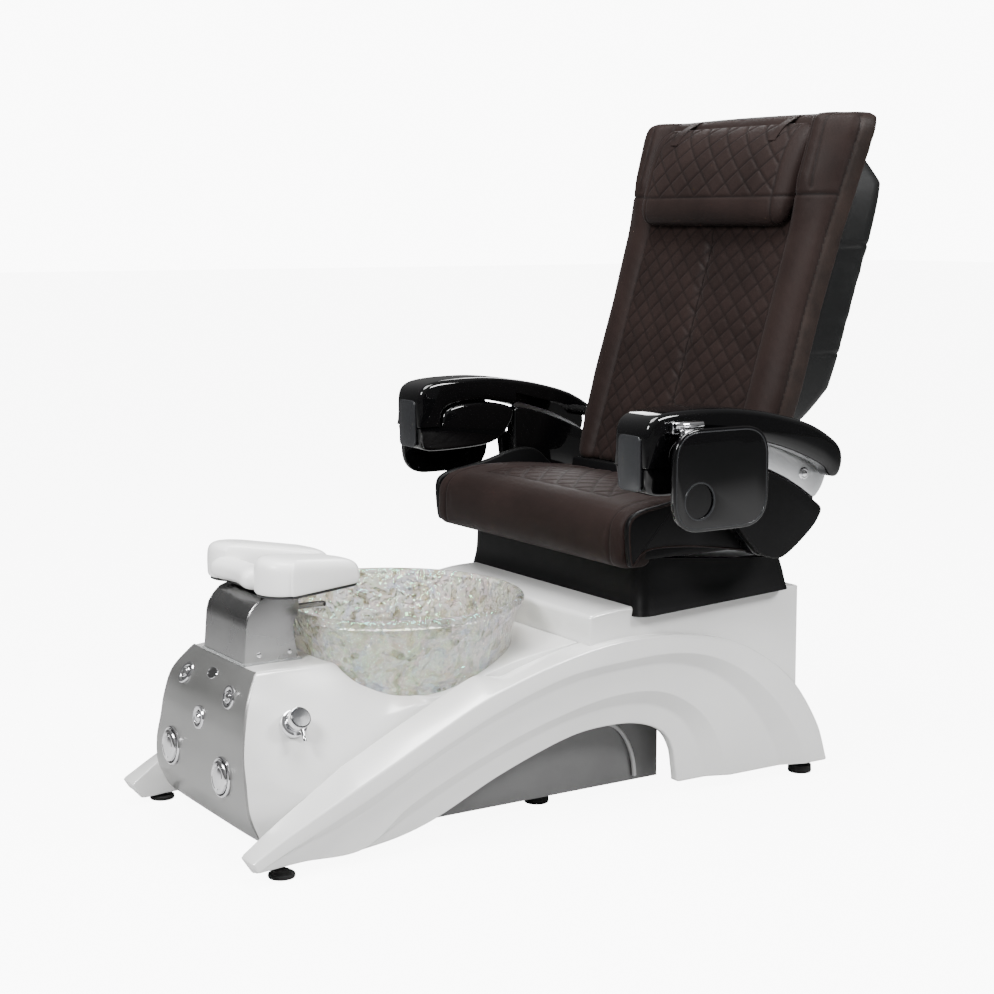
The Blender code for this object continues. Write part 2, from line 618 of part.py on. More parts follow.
def arm(side, sign, seat):
    """One arm rest: gloss cap over a satin body, hung on its pivot, with the folding side tray."""
    hinge = pivot(f"arm_pivot_{side}", Vector((0, ARM_PIVOT[0], ARM_PIVOT[1])) - Vector(seat.location), seat)
    cap = ((-.0080, .694), (-.0095, .755), (-.002, .778), (.020, .791), (.070, .7965), (.169, .798),
           (.273, .785), (.377, .759), (.425, .735), (.463, .708), (.469, .676), (.457, .647), (.437, .6490),
           (.425, .6700), (.370, .6945), (.330, .7095), (.285, .7225), (.255, .7300), (.169, .7480),
           (.100, .7460), (.062, .738),
           (.048, .720), (.045, .694))
    low, high = sorted((sign * ARM_INNER, sign * ARM_OUTER))
    cap_thing = bevel(add(f"arm_cap_{side}", prism(cap, low, high), GLOSS, smooth=True), .006, 2, 50)
    y, z = ARM_PIVOT
    turns = [math.pi * (i / 10 - .45) for i in range(1, 10)]
    sweep = [(y + SWEEP_RADIUS * math.cos(a), z + SWEEP_RADIUS * math.sin(a)) for a in turns]
    sweep = [(.240, .60), (.470, .57)] + sweep + [(.380, .7250), (.240, .7600)]
    inner = sorted((sign * .340, sign * .4225))
    cut(cap_thing, prism(sweep, *inner), f"cap_sweep_{side}")
    body = ((-.0060, .6930), (-.0050, .655), (.004, .645), (.030, .640), (.160, .6450), (.205, .6600),
            (.236, .7000), (.238, .7300), (.169, .7440), (.100, .7420), (.066, .734), (.0525, .718),
            (.0495, .6930))
    low, high = sorted((sign * (ARM_INNER + .003), sign * (ARM_OUTER - .003)))
    body_thing = bevel(add(f"arm_body_{side}", prism(body, low, high), BLACK, smooth=True), .004, 1, 50)
    turns = [math.pi * (i / 8 - .5) for i in range(9)]
    lever = [(y + LEVER_RADIUS * math.cos(a), z + LEVER_RADIUS * math.sin(a)) for a in turns]
    lever += [(.340, .706), (.200, .718), (.200, .680), (.330, .668)]
    join(body_thing, prism(lever, *sorted((sign * .3660, sign * .3930))), f"lever_{side}")
    return hinge, (cap_thing, body_thing)


def tray(side, sign, arm_hinge):
    """The folding side tray: hinge plate on the arm, pin, and the hanging tray with its cup recess."""
    x, z = TRAY_HINGE
    plate = box(*_corners(sign, (.4575, .040, .7560), (.4695, .104, .7780)))
    leaf = add(f"tray_hinge_{side}", plate, CHROME)
    hinge = pivot(f"tray_pivot_{side}", Vector((sign * x, .072, z)) - _place(arm_hinge), arm_hinge)
    pin = rod((sign * x, .040, z), (sign * x, .104, z), .0060, sides=12)
    join(leaf, pin, f"tray_pin_{side}")
    world(leaf, arm_hinge)
    outline = rounded(.221, .189, .040, 5)
    board = [(.1345 + a, .6715 + b) for a, b in outline]
    low, high = sorted((sign * .4840, sign * .4970))
    slab = bevel(add(f"tray_{side}", prism(board, low, high), GLOSS, smooth=True), .003, 1, 50)
    turns = [math.pi * i / 14 for i in range(28)]
    ring = [(.083 + CUP_RADIUS * math.cos(a), .634 + CUP_RADIUS * math.sin(a)) for a in turns]
    cut(slab, prism(ring, *sorted((sign * .4925, sign * .5100))), f"cup_recess_{side}")
    low, high = sorted((sign * .4785, sign * .4860))
    ears = prism([(.046, .742), (.098, .742), (.098, .7655), (.046, .7655)], low, high)
    join(slab, ears, f"tray_ear_{side}")
    world(slab, hinge)


def _corners(sign, low, high):
    """A box's corners, mirrored for the right-hand side."""
    x0, x1 = sorted((sign * low[0], sign * high[0]))
    return (x0, *low[1:]), (x1, *high[1:])


def _place(empty):
    """Where an empty stands in the world."""
    place = Vector((0, 0, 0))
    while empty:
        place += empty.location
        empty = empty.parent
    return place


# ---- back -----------------------------------------------------------------------
def lean(y0, z0, z):
    """The y of a line that leans with the back and passes through y0 at z0."""
    return y0 + RECLINE_SLOPE * (z - z0)


def back_slab(levels, front_off, depth):
    """A slab that follows the back: levels of (height, half-width), set off from the back's front plane."""
    rings = []
    for z, half in levels:
        front = lean(.405, .765, z) + front_off
        rear = front + depth(z)
        corner = .018
        rings.append([(-half, front + corner, z), (-half + corner, front, z), (half - corner, front, z),
                      (half, front + corner, z), (half, rear, z), (-half, rear, z)])
    return loft(rings)


def pad_depth(z):
    """How thick the padded front is at a height: thinner above the shoulders."""
    return .072 if z < 1.30 else .052


def shell_depth(z):
    """How far the rear shell stands back at a height: it tapers towards its foot and its top."""
    tail = min((z - .60) / .20, 1) * SHELL_DEPTH
    return max(tail - max(z - 1.215, 0) * .9, .030)


def back(seat):
    """The reclining back: inner frame, rear shell, side panels, padded front and pillow."""
    hinge = pivot("back_pivot", Vector(RECLINE_AXIS) - _place(seat), seat)
    pad = ((.614, .296), (.640, .302), (.700, .312), (.800, .318), (.960, .316), (1.110, .322),
           (1.220, .333), (1.320, .344), (1.352, .334))
    world(add("back_cushion", back_slab(pad, 0.0, pad_depth), LEATHER, smooth=True), hinge)
    shell = ((.700, .235), (.760, .272), (.870, .286), (1.000, .290), (1.100, .292), (1.200, .286),
             (1.262, .262), (1.290, .220))
    rings = []
    for z, half in shell:
        front = lean(.405, .765, z) + .0723 + .0010
        rear = front + shell_depth(z)
        soft = min(.040, shell_depth(z) * .5)
        rings.append([(-half, front, z), (half, front, z), (half, rear - soft, z), (half - soft, rear, z),
                      (-half + soft, rear, z), (-half, rear - soft, z)])
    shell_thing = add("back_shell", loft(rings), BLACK, smooth=True)
    inside = []
    for z, half in shell:
        front = lean(.405, .765, z) + .0723 - .010
        rear = front + shell_depth(z) + .0030
        soft = min(.040, shell_depth(z) * .5) + .004
        low = z + (.012 if z == shell[0][0] else (-.012 if z == shell[-1][0] else 0))
        inside.append([(-half + .008, front, low), (half - .008, front, low), (half - .008, rear - soft, low),
                       (half - soft, rear, low), (-half + soft, rear, low), (-half + .008, rear - soft, low)])
    cut(shell_thing, loft(inside), "shell_hollow")
    world(shell_thing, hinge)
    world(add("back_frame", slanted_box(.180, .760, 1.200, .0760, .0960), ZINC), hinge)
    world(add("massage_carriage", slanted_box(.110, .930, 1.020, .0970, .1250), BLACK), hinge)
    rings = []
    for z, half, front, rear in ((1.128, .205, -.020, -.0006), (1.140, .232, -.048, -.0006),
                                 (1.180, .240, -.060, -.0006), (1.290, .248, -.052, -.0006),
                                 (1.322, .246, -.036, -.0006), (1.334, .225, -.020, -.0006)):
        base = lean(.405, .765, z)
        rings.append([(-half, base + front, z), (half, base + front, z), (half, base + rear, z),
                      (-half, base + rear, z)])
    world(add("head_pillow", loft(rings), LEATHER, smooth=True), hinge)
    return hinge


def slanted_box(half, low, high, front_off, rear_off):
    """A box that leans with the back."""
    rings = []
    for z in (low, high):
        base = lean(.405, .765, z)
        rings.append([(-half, base + front_off, z), (half, base + front_off, z), (half, base + rear_off, z),
                      (-half, base + rear_off, z)])
    return loft(rings)


def clear_scene():
    """Remove whatever the scene holds."""
    for thing in list(bpy.data.objects):
        bpy.data.objects.remove(thing, do_unlink=True)


def main():
    """Build the chair, piece by piece."""
    clear_scene()
    for side, sign in SIDES:
        arch(side, sign)
    tub_body()
    glass_bowl()
    drain_and_jet()
    liner()
    pedestal()
    front_panel()
    faucet()
    column()
    feet()
    foot_pads(pivot("footrest_carriage", (0, -.530, .468)))
    skirt()
    slide_rails()
    seat = pivot("seat_carriage", (0, .250, .440))
    seat_frame(seat)
    seat_cushion(seat)
    for side, sign in SIDES:
        arm_bracket(side, sign, seat)
        hinge, pieces = arm(side, sign, seat)
        for piece in pieces:
            world(piece, hinge)
        tray(side, sign, hinge)
    back(seat)


main()
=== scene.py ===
"""Looks of the pedicure spa chair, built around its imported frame.

Every piece is a surface worked out with numpy in the frame's own metres, or a frame node
with a better material. +Y runs from the foot bowl to the back rest, +X is the client's left.
"""
import json
import logging
import math
from dataclasses import dataclass, field
from enum import Enum
from typing import Sequence

import bpy
import numpy as np
from numpy.typing import NDArray
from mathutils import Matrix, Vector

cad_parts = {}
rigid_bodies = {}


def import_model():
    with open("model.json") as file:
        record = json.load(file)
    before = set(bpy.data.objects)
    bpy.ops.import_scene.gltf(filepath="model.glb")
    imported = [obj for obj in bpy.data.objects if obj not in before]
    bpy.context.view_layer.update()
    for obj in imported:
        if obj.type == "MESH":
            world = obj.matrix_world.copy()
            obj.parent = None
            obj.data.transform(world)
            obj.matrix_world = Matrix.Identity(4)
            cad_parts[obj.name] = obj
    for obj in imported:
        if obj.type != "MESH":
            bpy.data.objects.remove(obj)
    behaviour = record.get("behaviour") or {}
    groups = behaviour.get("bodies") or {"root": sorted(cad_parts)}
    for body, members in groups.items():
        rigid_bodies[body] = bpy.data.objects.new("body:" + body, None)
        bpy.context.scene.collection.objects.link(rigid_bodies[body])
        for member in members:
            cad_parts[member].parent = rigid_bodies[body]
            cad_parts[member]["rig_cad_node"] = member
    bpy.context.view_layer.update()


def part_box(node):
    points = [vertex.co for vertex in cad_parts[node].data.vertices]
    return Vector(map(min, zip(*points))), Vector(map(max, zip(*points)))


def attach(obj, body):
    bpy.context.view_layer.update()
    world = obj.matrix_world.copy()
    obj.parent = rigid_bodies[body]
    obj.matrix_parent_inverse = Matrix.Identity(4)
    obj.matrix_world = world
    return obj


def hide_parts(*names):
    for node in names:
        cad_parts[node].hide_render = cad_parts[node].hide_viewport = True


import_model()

Array = NDArray[np.float64]
Thing = bpy.types.Object
Skin = bpy.types.Material
Tree = bpy.types.NodeTree
Socket = bpy.types.NodeSocket

LOG = logging.getLogger("pedicure_spa")
SIDES = (("left", 1.0), ("right", -1.0))
ARM_PIVOT = (.405, .653)        # y and z of the arm rests' bolts
BOLSTER_X = .231                # where the back's side bolsters begin
QUARTER = math.pi / 2


# ---- surface kit -----------------------------------------------------------------
def full_turn(count: int) -> Array:
    """Angles round a circle, the last one short of the first."""
    return np.linspace(0, 2 * math.pi, count, endpoint=False)


def side_span(sign: float, near: float, far: float) -> tuple[float, float]:
    """Two sideways places on one side of the chair, in rising order."""
    low, high = sorted((sign * near, sign * far))
    return low, high


def catmull(points: Sequence[Sequence[float]], count: int) -> Array:
    """Sample a smooth curve through points.

    Catmull-Rom: on each span the curve is the cubic whose end slopes are half the chord
    between the neighbours on either side.

    Args:
        points: control points, all of one dimension.
        count: how many samples to take, evenly in the curve's parameter.

    Returns:
        The samples, count rows.
    """
    knots = np.asarray(points, float)
    padded = np.vstack([2 * knots[0] - knots[1], knots, 2 * knots[-1] - knots[-2]])
    at = np.linspace(0, len(knots) - 1, count)
    span = np.minimum(at.astype(int), len(knots) - 2)
    t = (at - span)[:, None]
    p0, p1, p2, p3 = (padded[span + k] for k in range(4))
    return 0.5 * (2 * p1 + (p2 - p0) * t + (2 * p0 - 5 * p1 + 4 * p2 - p3) * t ** 2
                  + (3 * p1 - p0 - 3 * p2 + p3) * t ** 3)


def soften(rings: Array, radius: float | Array, steps: int = 5) -> Array:
    """Round the corners of closed polygons.

    Each corner becomes the quadratic curve from a point one radius before it, pulled to the
    corner, to a point one radius after it; the radius never passes 0.46 of a side.

    Args:
        rings: polygons, shape (rings, corners, 3).
        radius: one radius, or one for each corner.
        steps: points for each corner.

    Returns:
        Rounded polygons, shape (rings, corners * steps, 3).
    """
    before = np.roll(rings, 1, axis=1) - rings
    after = np.roll(rings, -1, axis=1) - rings
    size = np.broadcast_to(np.asarray(radius, float), rings.shape[:2])
    pieces = []
    for run in (before, after):
        length = np.linalg.norm(run, axis=2) + 1e-9
        pieces.append(rings + run * (np.minimum(size, .46 * length) / length)[..., None])
    t = np.linspace(0, 1, steps)[None, None, :, None]
    start, end, corner = pieces[0][:, :, None], pieces[1][:, :, None], rings[:, :, None]
    curve = (1 - t) ** 2 * start + 2 * t * (1 - t) * corner + t ** 2 * end
    return curve.reshape(rings.shape[0], -1, 3)


def domed(rings: Array, depth: float, steps: int = 4) -> Array:
    """Round both ends of a tube of rings, so that its caps have no sharp edge.

    Each end gains rings that shrink towards its centre by depth * (1 - sin a) while they
    stand depth * cos a in front of the ring that follows, for a from 0 to a quarter turn.

    Args:
        rings: closed rings, shape (rings, points, 3).
        depth: radius of the rounding.
        steps: rings added at each end.

    Returns:
        The longer tube, of the same overall length.
    """
    def lip(first: Array, second: Array) -> Array:
        """Rings of one end, from its flat face back to where the side begins."""
        middle = first.mean(axis=0)
        along = second.mean(axis=0) - middle
        along /= np.linalg.norm(along) + 1e-12
        reach = np.linalg.norm(first - middle, axis=1, keepdims=True) + 1e-9
        made = []
        for angle in np.linspace(0, QUARTER, steps + 1):
            shrink = np.minimum(depth * (1 - math.sin(angle)), .8 * reach)
            made.append(middle + (first - middle) * (1 - shrink / reach)
                        + along * depth * (1 - math.cos(angle)))
        return np.array(made)
    head, tail = lip(rings[0], rings[1]), lip(rings[-1], rings[-2])
    return np.concatenate([head, rings[1:-1], tail[::-1]])


def mesh_piece(name: str, points: Array, faces: list[tuple[int, ...]] | NDArray[np.int64],
               material: Skin, angle: float = 40.0) -> Thing:
    """Make an object at the origin from points and faces, shaded smooth below an angle.

    Args:
        name: the piece's name.
        points: vertices, one row each.
        faces: quads as an array, or a list of polygons.
        material: what it is made of.
        angle: edges sharper than this many degrees stay sharp.

    Returns:
        The new object.
    """
    mesh = bpy.data.meshes.new(name)
    rows = faces.tolist() if isinstance(faces, np.ndarray) else faces
    mesh.from_pydata(np.asarray(points, float).tolist(), [], rows)
    mesh.validate()
    mesh.update()
    mesh.shade_smooth()
    mesh.set_sharp_from_angle(angle=math.radians(angle))
    mesh.materials.append(material)
    piece = bpy.data.objects.new(name, mesh)
    bpy.context.scene.collection.objects.link(piece)
    return piece


def grid_faces(rows: int, columns: int, wrap: bool) -> NDArray[np.int64]:
    """Quads of a grid of points, row by row; wrap joins the last column to the first."""
    across = np.arange(columns if wrap else columns - 1)
    i, j = np.meshgrid(np.arange(rows - 1), across, indexing="ij")
    k = (j + 1) % columns
    quads = np.stack([i * columns + j, i * columns + k, (i + 1) * columns + k, (i + 1) * columns + j], -1)
    return quads.reshape(-1, 4)


def outward(points: Array, faces: list[tuple[int, ...]]) -> list[tuple[int, ...]]:
    """Turn a closed body's faces over when its signed volume is negative."""
    volume = 0.0
    for face in faces:
        a = points[face[0]]
        for p, q in zip(face[1:-1], face[2:]):
            volume += float(np.dot(a, np.cross(points[p], points[q])))
    return [tuple(reversed(face)) for face in faces] if volume < 0 else faces


def tube(name: str, rings: Array, material: Skin, angle: float = 40.0,
         closed: bool = False) -> Thing:
    """A closed body from rings: sides as quads, each end closed by one face, or end joined to end.

    Args:
        name: the piece's name.
        rings: shape (rings, points, 3).
        material: its finish.
        angle: edges sharper than this stay sharp.
        closed: join the last ring to the first instead of capping.

    Returns:
        The new object.
    """
    count, around = rings.shape[:2]
    points = rings.reshape(-1, 3)
    faces = [tuple(f) for f in grid_faces(count, around, True).tolist()]
    if closed:
        last, ring = (count - 1) * around, np.arange(around)
        faces += [(last + i, last + (i + 1) % around, (i + 1) % around, i) for i in ring.tolist()]
    else:
        last = (count - 1) * around
        faces.append(tuple(range(around - 1, -1, -1)))
        faces.append(tuple(range(last, last + around)))
    return mesh_piece(name, points, outward(points, faces), material, angle)


def plate(name: str, outline: Sequence[Sequence[float]] | Array, low: float, high: float,
          material: Skin, radius: float = 0.002, corner: float | Array = 0.004,
          axis: int = 0, steps: int = 5) -> Thing:
    """A flat piece with rounded corners and rounded edges.

    The outline is carried along one axis; its rim turns over on a quarter circle, which fades
    out towards corners that are sharper than the rim.

    Args:
        name: the piece's name.
        outline: corner pairs in the other two axes.
        low: where it starts on the axis.
        high: where it ends.
        material: its finish.
        radius: rounding of the rim.
        corner: rounding of the outline's corners.
        axis: 0 for x, 1 for y, 2 for z.
        steps: points at each corner.

    Returns:
        The new object.
    """
    flat = np.asarray(outline, float)
    ring = np.insert(flat, axis, 0.0, axis=1)[None]
    ring = soften(ring, corner, steps)[0]
    turn = np.linspace(0, QUARTER, 5)
    offsets = [(radius * (1 - math.sin(a)), radius * (1 - math.cos(a))) for a in turn]
    around = np.delete(ring, axis, axis=1)
    sharp = flat[np.broadcast_to(np.asarray(corner, float), len(flat)) < radius]
    inward = inset_direction(around)
    if len(sharp):
        reach = np.linalg.norm(around[:, None] - sharp[None], axis=2).min(axis=1)
        inward *= np.clip(reach / (2.5 * radius), .06, 1.0)[:, None]
    inward = np.insert(inward, axis, 0.0, axis=1)
    along = np.eye(3)[axis]
    rings = [ring + inward * pull + along * (low + rise) for pull, rise in offsets]
    rings += [ring + inward * pull + along * (high - rise) for pull, rise in reversed(offsets)]
    return tube(name, np.array(rings), material, 50)


def inset_direction(flat: Array) -> Array:
    """Unit directions that point into a closed outline at each of its points."""
    ahead = np.roll(flat, -1, axis=0) - np.roll(flat, 1, axis=0)
    ahead /= np.linalg.norm(ahead, axis=1, keepdims=True) + 1e-12
    area = np.sum(flat[:, 0] * np.roll(flat[:, 1], -1) - np.roll(flat[:, 0], -1) * flat[:, 1])
    side = np.stack([-ahead[:, 1], ahead[:, 0]], axis=1)
    return side if area > 0 else -side


def turned(name: str, profile: Sequence[Sequence[float]], start: Sequence[float],
           direction: Sequence[float], material: Skin, sides: int = 48,
           angle: float = 35.0, loop: bool = False) -> Thing:
    """A body of revolution: each (radius, height) of the profile swept round an axis.

    Args:
        name: the piece's name.
        profile: pairs of radius and height, from one end to the other.
        start: the axis' foot.
        direction: the axis' direction.
        material: its finish.
        sides: points round the axis.
        angle: edges sharper than this stay sharp.
        loop: the profile is a closed ring section.

    Returns:
        The new object.
    """
    axis = np.asarray(direction, float) / np.linalg.norm(direction)
    helper = np.array([0.0, 0.0, 1.0]) if abs(axis[2]) < .9 else np.array([1.0, 0.0, 0.0])
    first = np.cross(helper, axis)
    first /= np.linalg.norm(first)
    second = np.cross(axis, first)
    around = full_turn(sides)
    section = np.asarray(profile, float)
    spoke = np.cos(around)[:, None] * first + np.sin(around)[:, None] * second
    rings = (np.asarray(start, float) + section[:, 0, None, None] * spoke[None]
             + section[:, 1, None, None] * axis)
    return tube(name, rings, material, angle, closed=loop)


def finish_piece(piece: Thing, body: str, slot: str, *nodes: str) -> Thing:
    """Ride a piece on a body and hide the frame nodes that it stands for.

    Args:
        piece: the new object.
        body: the body that it moves with.
        slot: the record's material slot; not used.
        nodes: frame nodes that it replaces.

    Returns:
        The same object.
    """
    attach(piece, body)
    if nodes:
        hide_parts(*nodes)
    LOG.info("%s rides on %s", piece.name, body)
    return piece


# ---- finishes --------------------------------------------------------------------
def new_group(name: str, inputs: dict[str, float], outputs: dict[str, str]) -> Tree:
    """A shader node group with named number inputs and named outputs.

    Args:
        name: the group's name.
        inputs: input names with their default numbers.
        outputs: output names with their socket types.

    Returns:
        The group, holding its two end nodes and an object-space coordinate.
    """
    group = bpy.data.node_groups.new(name, "ShaderNodeTree")
    for label, value in inputs.items():
        socket = group.interface.new_socket(label, in_out="INPUT", socket_type="NodeSocketFloat")
        socket.default_value = value
    for label, kind in outputs.items():
        group.interface.new_socket(label, in_out="OUTPUT", socket_type=kind)
    group.nodes.new("NodeGroupInput").name = "in"
    group.nodes.new("NodeGroupOutput").name = "out"
    group.nodes.new("ShaderNodeTexCoord").name = "where"
    return group


def math_node(tree: Tree, operation: str, first: object, second: object) -> Socket:
    """A Math node whose inputs are sockets or numbers; gives its output socket."""
    node = tree.nodes.new("ShaderNodeMath")
    node.operation = operation
    for slot, value in zip(node.inputs, (first, second)):
        if isinstance(value, (int, float)):
            slot.default_value = value
        else:
            tree.links.new(value, slot)
    return node.outputs[0]


def ramp_node(tree: Tree, source: Socket, low: float, high: float,
              to_low: float, to_high: float) -> Socket:
    """Map a value from one range to another, held at the ends."""
    node = tree.nodes.new("ShaderNodeMapRange")
    for label, value in zip(("From Min", "From Max", "To Min", "To Max"), (low, high, to_low, to_high)):
        node.inputs[label].default_value = value
    tree.links.new(source, node.inputs["Value"])
    return node.outputs["Result"]


def noise_node(tree: Tree, where: Socket, scale: float,
               detail: float = 3.0, rough: float = .5) -> bpy.types.Node:
    """A noise texture on a coordinate."""
    node = tree.nodes.new("ShaderNodeTexNoise")
    node.inputs["Scale"].default_value = scale
    node.inputs["Detail"].default_value = detail
    node.inputs["Roughness"].default_value = rough
    tree.links.new(where, node.inputs["Vector"])
    return node


def variation_group() -> Tree:
    """Slow cloudy variation: a value about one half, for tint and gloss that isn't quite even."""
    tree = new_group("slow_variation", {"Scale": 6.0}, {"Value": "NodeSocketFloat"})
    noise = noise_node(tree, tree.nodes["where"].outputs["Object"], 6.0, 4.0, .55)
    tree.links.new(tree.nodes["in"].outputs["Scale"], noise.inputs["Scale"])
    tree.links.new(noise.outputs["Fac"], tree.nodes["out"].inputs["Value"])
    return tree


def grain_group() -> Tree:
    """Leather grain: rounded cells with creases between them, broken up by finer noise; the crease mask also
    darkens the colour as painted shade in the creases.
    """
    tree = new_group("leather_grain", {"Scale": 420.0, "Wrinkle Scale": 26.0},
                     {"Height": "NodeSocketFloat", "Crease Shade": "NodeSocketFloat"})
    where = tree.nodes["where"].outputs["Object"]
    cells = tree.nodes.new("ShaderNodeTexVoronoi")
    cells.feature = "DISTANCE_TO_EDGE"
    tree.links.new(where, cells.inputs["Vector"])
    tree.links.new(tree.nodes["in"].outputs["Scale"], cells.inputs["Scale"])
    pores = noise_node(tree, where, 900.0, 2.0)
    folds = noise_node(tree, where, 26.0, 5.0, .6)
    tree.links.new(tree.nodes["in"].outputs["Wrinkle Scale"], folds.inputs["Scale"])
    crease = ramp_node(tree, cells.outputs["Distance"], 0.0, .12, 0.0, 1.0)
    height = math_node(tree, "ADD", math_node(tree, "MULTIPLY", crease, .6),
                       math_node(tree, "MULTIPLY", pores.outputs["Fac"], .25))
    height = math_node(tree, "ADD", height, math_node(tree, "MULTIPLY", folds.outputs["Fac"], 1.2))
    tree.links.new(height, tree.nodes["out"].inputs["Height"])
    tree.links.new(crease, tree.nodes["out"].inputs["Crease Shade"])
    return tree


def speck_group() -> Tree:
    """Fine moulded texture: small even bumps, with their mask for gloss."""
    tree = new_group("fine_specks", {"Scale": 700.0}, {"Height": "NodeSocketFloat",
                                                       "Mask": "NodeSocketFloat"})
    noise = noise_node(tree, tree.nodes["where"].outputs["Object"], 700.0, 2.0, .5)
    tree.links.new(tree.nodes["in"].outputs["Scale"], noise.inputs["Scale"])
    tree.links.new(noise.outputs["Fac"], tree.nodes["out"].inputs["Height"])
    mask = ramp_node(tree, noise.outputs["Fac"], .45, .7, 0.0, 1.0)
    tree.links.new(mask, tree.nodes["out"].inputs["Mask"])
    return tree


def brush_group() -> Tree:
    """Brushed lines along y: noise stretched forty times along its length."""
    tree = new_group("brushed_lines", {"Scale": 1.0}, {"Height": "NodeSocketFloat"})
    stretch = tree.nodes.new("ShaderNodeMapping")
    stretch.inputs["Scale"].default_value = (900.0, 18.0, 900.0)
    tree.links.new(tree.nodes["where"].outputs["Object"], stretch.inputs["Vector"])
    noise = noise_node(tree, stretch.outputs["Vector"], 1.0, 2.0, .6)
    tree.links.new(tree.nodes["in"].outputs["Scale"], noise.inputs["Scale"])
    tree.links.new(noise.outputs["Fac"], tree.nodes["out"].inputs["Height"])
    return tree


class Effect(Enum):
    """The shared effects a finish can be built on."""
    SPECKS = "fine_specks"
    GRAIN = "leather_grain"
    BRUSHED = "brushed_lines"


@dataclass(frozen=True)
class Finish:
    """One procedural finish: colour with slow variation, gloss that varies, and a fine relief; grain finishes
    darken the colour in their creases, and seamed ones along their seams, both as painted shade.
    """
    name: str
    colour: tuple[float, float, float]
    shade: tuple[float, float, float]
    roughness: float
    metallic: float = 0.0
    coat: float = 0.0
    coat_roughness: float = 0.05
    sheen: float = 0.0
    gleam: float = 0.5
    effect: Effect = Effect.SPECKS
    scale: float = 700.0
    relief: float = 0.05
    depth: float = 0.0004
    spread: float = 6.0
    gloss_swing: float = 0.06
    # darken the colour along the sunk seams: painted shade in the seam grooves
    seams: bool = False

    def build(self) -> Skin:
        """Make the material, once.

        Returns:
            The material, with its Principled shader and the shared groups in it.
        """
        found = bpy.data.materials.get(self.name)
        if found:
            return found
        made = bpy.data.materials.new(self.name)
        made.use_nodes = True
        tree = made.node_tree
        shader = tree.nodes["Principled BSDF"]
        plain = {"Metallic": self.metallic, "Coat Weight": self.coat, "Coat Roughness": self.coat_roughness,
                 "Sheen Weight": self.sheen, "Specular IOR Level": self.gleam}
        for label, value in plain.items():
            shader.inputs[label].default_value = value
        cloud = self._group(tree, "slow_variation", "Scale", self.spread).outputs["Value"]
        mix = tree.nodes.new("ShaderNodeMix")
        mix.data_type = "RGBA"
        mix.inputs[6].default_value = (*self.shade, 1.0)
        mix.inputs[7].default_value = (*self.colour, 1.0)
        tree.links.new(ramp_node(tree, cloud, .35, .65, 0.0, 1.0), mix.inputs[0])
        colour = mix.outputs[2]
        detail = self._group(tree, self.effect.value, "Scale", self.scale)
        height = detail.outputs["Height"]
        # Painted shade: the grain's creases darken the colour to .72, where shade falls in them.
        if self.effect is Effect.GRAIN:
            colour = self._darken(tree, colour, ramp_node(tree, detail.outputs["Crease Shade"], 0, 1, .72, 1.0))
        # Painted shade: the seam attribute darkens the colour to .38 along the bottom of the sunk seams.
        if self.seams:
            seam_shade_mask = tree.nodes.new("ShaderNodeAttribute")
            seam_shade_mask.attribute_name = "seam"
            colour = self._darken(tree, colour, ramp_node(tree, seam_shade_mask.outputs["Fac"], 0, 1, 1.0, .38))
        tree.links.new(colour, shader.inputs["Base Color"])
        swing = ramp_node(tree, cloud, .3, .7, self.roughness - self.gloss_swing,
                          self.roughness + self.gloss_swing)
        tree.links.new(swing, shader.inputs["Roughness"])
        bump = tree.nodes.new("ShaderNodeBump")
        bump.inputs["Strength"].default_value = self.relief
        bump.inputs["Distance"].default_value = self.depth
        tree.links.new(height, bump.inputs["Height"])
        tree.links.new(bump.outputs["Normal"], shader.inputs["Normal"])
        return made

    @staticmethod
    def _group(tree: Tree, name: str, socket: str, value: float) -> bpy.types.Node:
        """Place a shared group with its own value."""
        node = tree.nodes.new("ShaderNodeGroup")
        node.node_tree = bpy.data.node_groups[name]
        node.inputs[socket].default_value = value
        return node

    @staticmethod
    def _darken(tree: Tree, colour: Socket,
                amount: Socket) -> Socket:
        """Multiply a colour by a value."""
        scale = tree.nodes.new("ShaderNodeVectorMath")
        scale.operation = "SCALE"
        tree.links.new(colour, scale.inputs[0])
        tree.links.new(amount, scale.inputs["Scale"])
        return scale.outputs[0]


GELCOAT = Finish("pearl_gelcoat", (.80, .80, .79), (.74, .74, .73), .22, metallic=.12, coat=.5,
                 coat_roughness=.06, scale=240.0, relief=.03, spread=3.0)
SILVER = Finish("silver_panel_paint", (.30, .30, .295), (.25, .25, .245), .34, metallic=.75, coat=.4,
                coat_roughness=.12, scale=1500.0, relief=.04, spread=4.0)
STEEL = Finish("brushed_stainless", (.33, .33, .33), (.25, .25, .25), .26, metallic=1.0,
               effect=Effect.BRUSHED, scale=1.0, relief=.12, depth=.0002, spread=5.0)
BRIGHT_STEEL = Finish("satin_bracket", (.66, .67, .68), (.58, .59, .60), .32, metallic=.75,
                      effect=Effect.BRUSHED, scale=1.0, relief=.08, depth=.0002)
CHROME = Finish("polished_chrome", (.84, .84, .85), (.76, .76, .78), .08, metallic=1.0, scale=300.0,
                relief=.01, gloss_swing=.02)
CAP_GREY = Finish("smoked_cap", (.030, .031, .033), (.022, .023, .025), .16, metallic=.2, gleam=.3,
                  scale=900.0)
GLOSS = Finish("piano_black", (.0022, .0022, .0024), (.0016, .0016, .0018), .06, coat=.35, coat_roughness=.02,
               gleam=.30, scale=160.0, relief=.01, gloss_swing=.02)
SATIN = Finish("satin_black", (.0030, .0030, .0032), (.0020, .0020, .0022), .30, gleam=.12, scale=900.0,
               relief=.10, gloss_swing=.05)
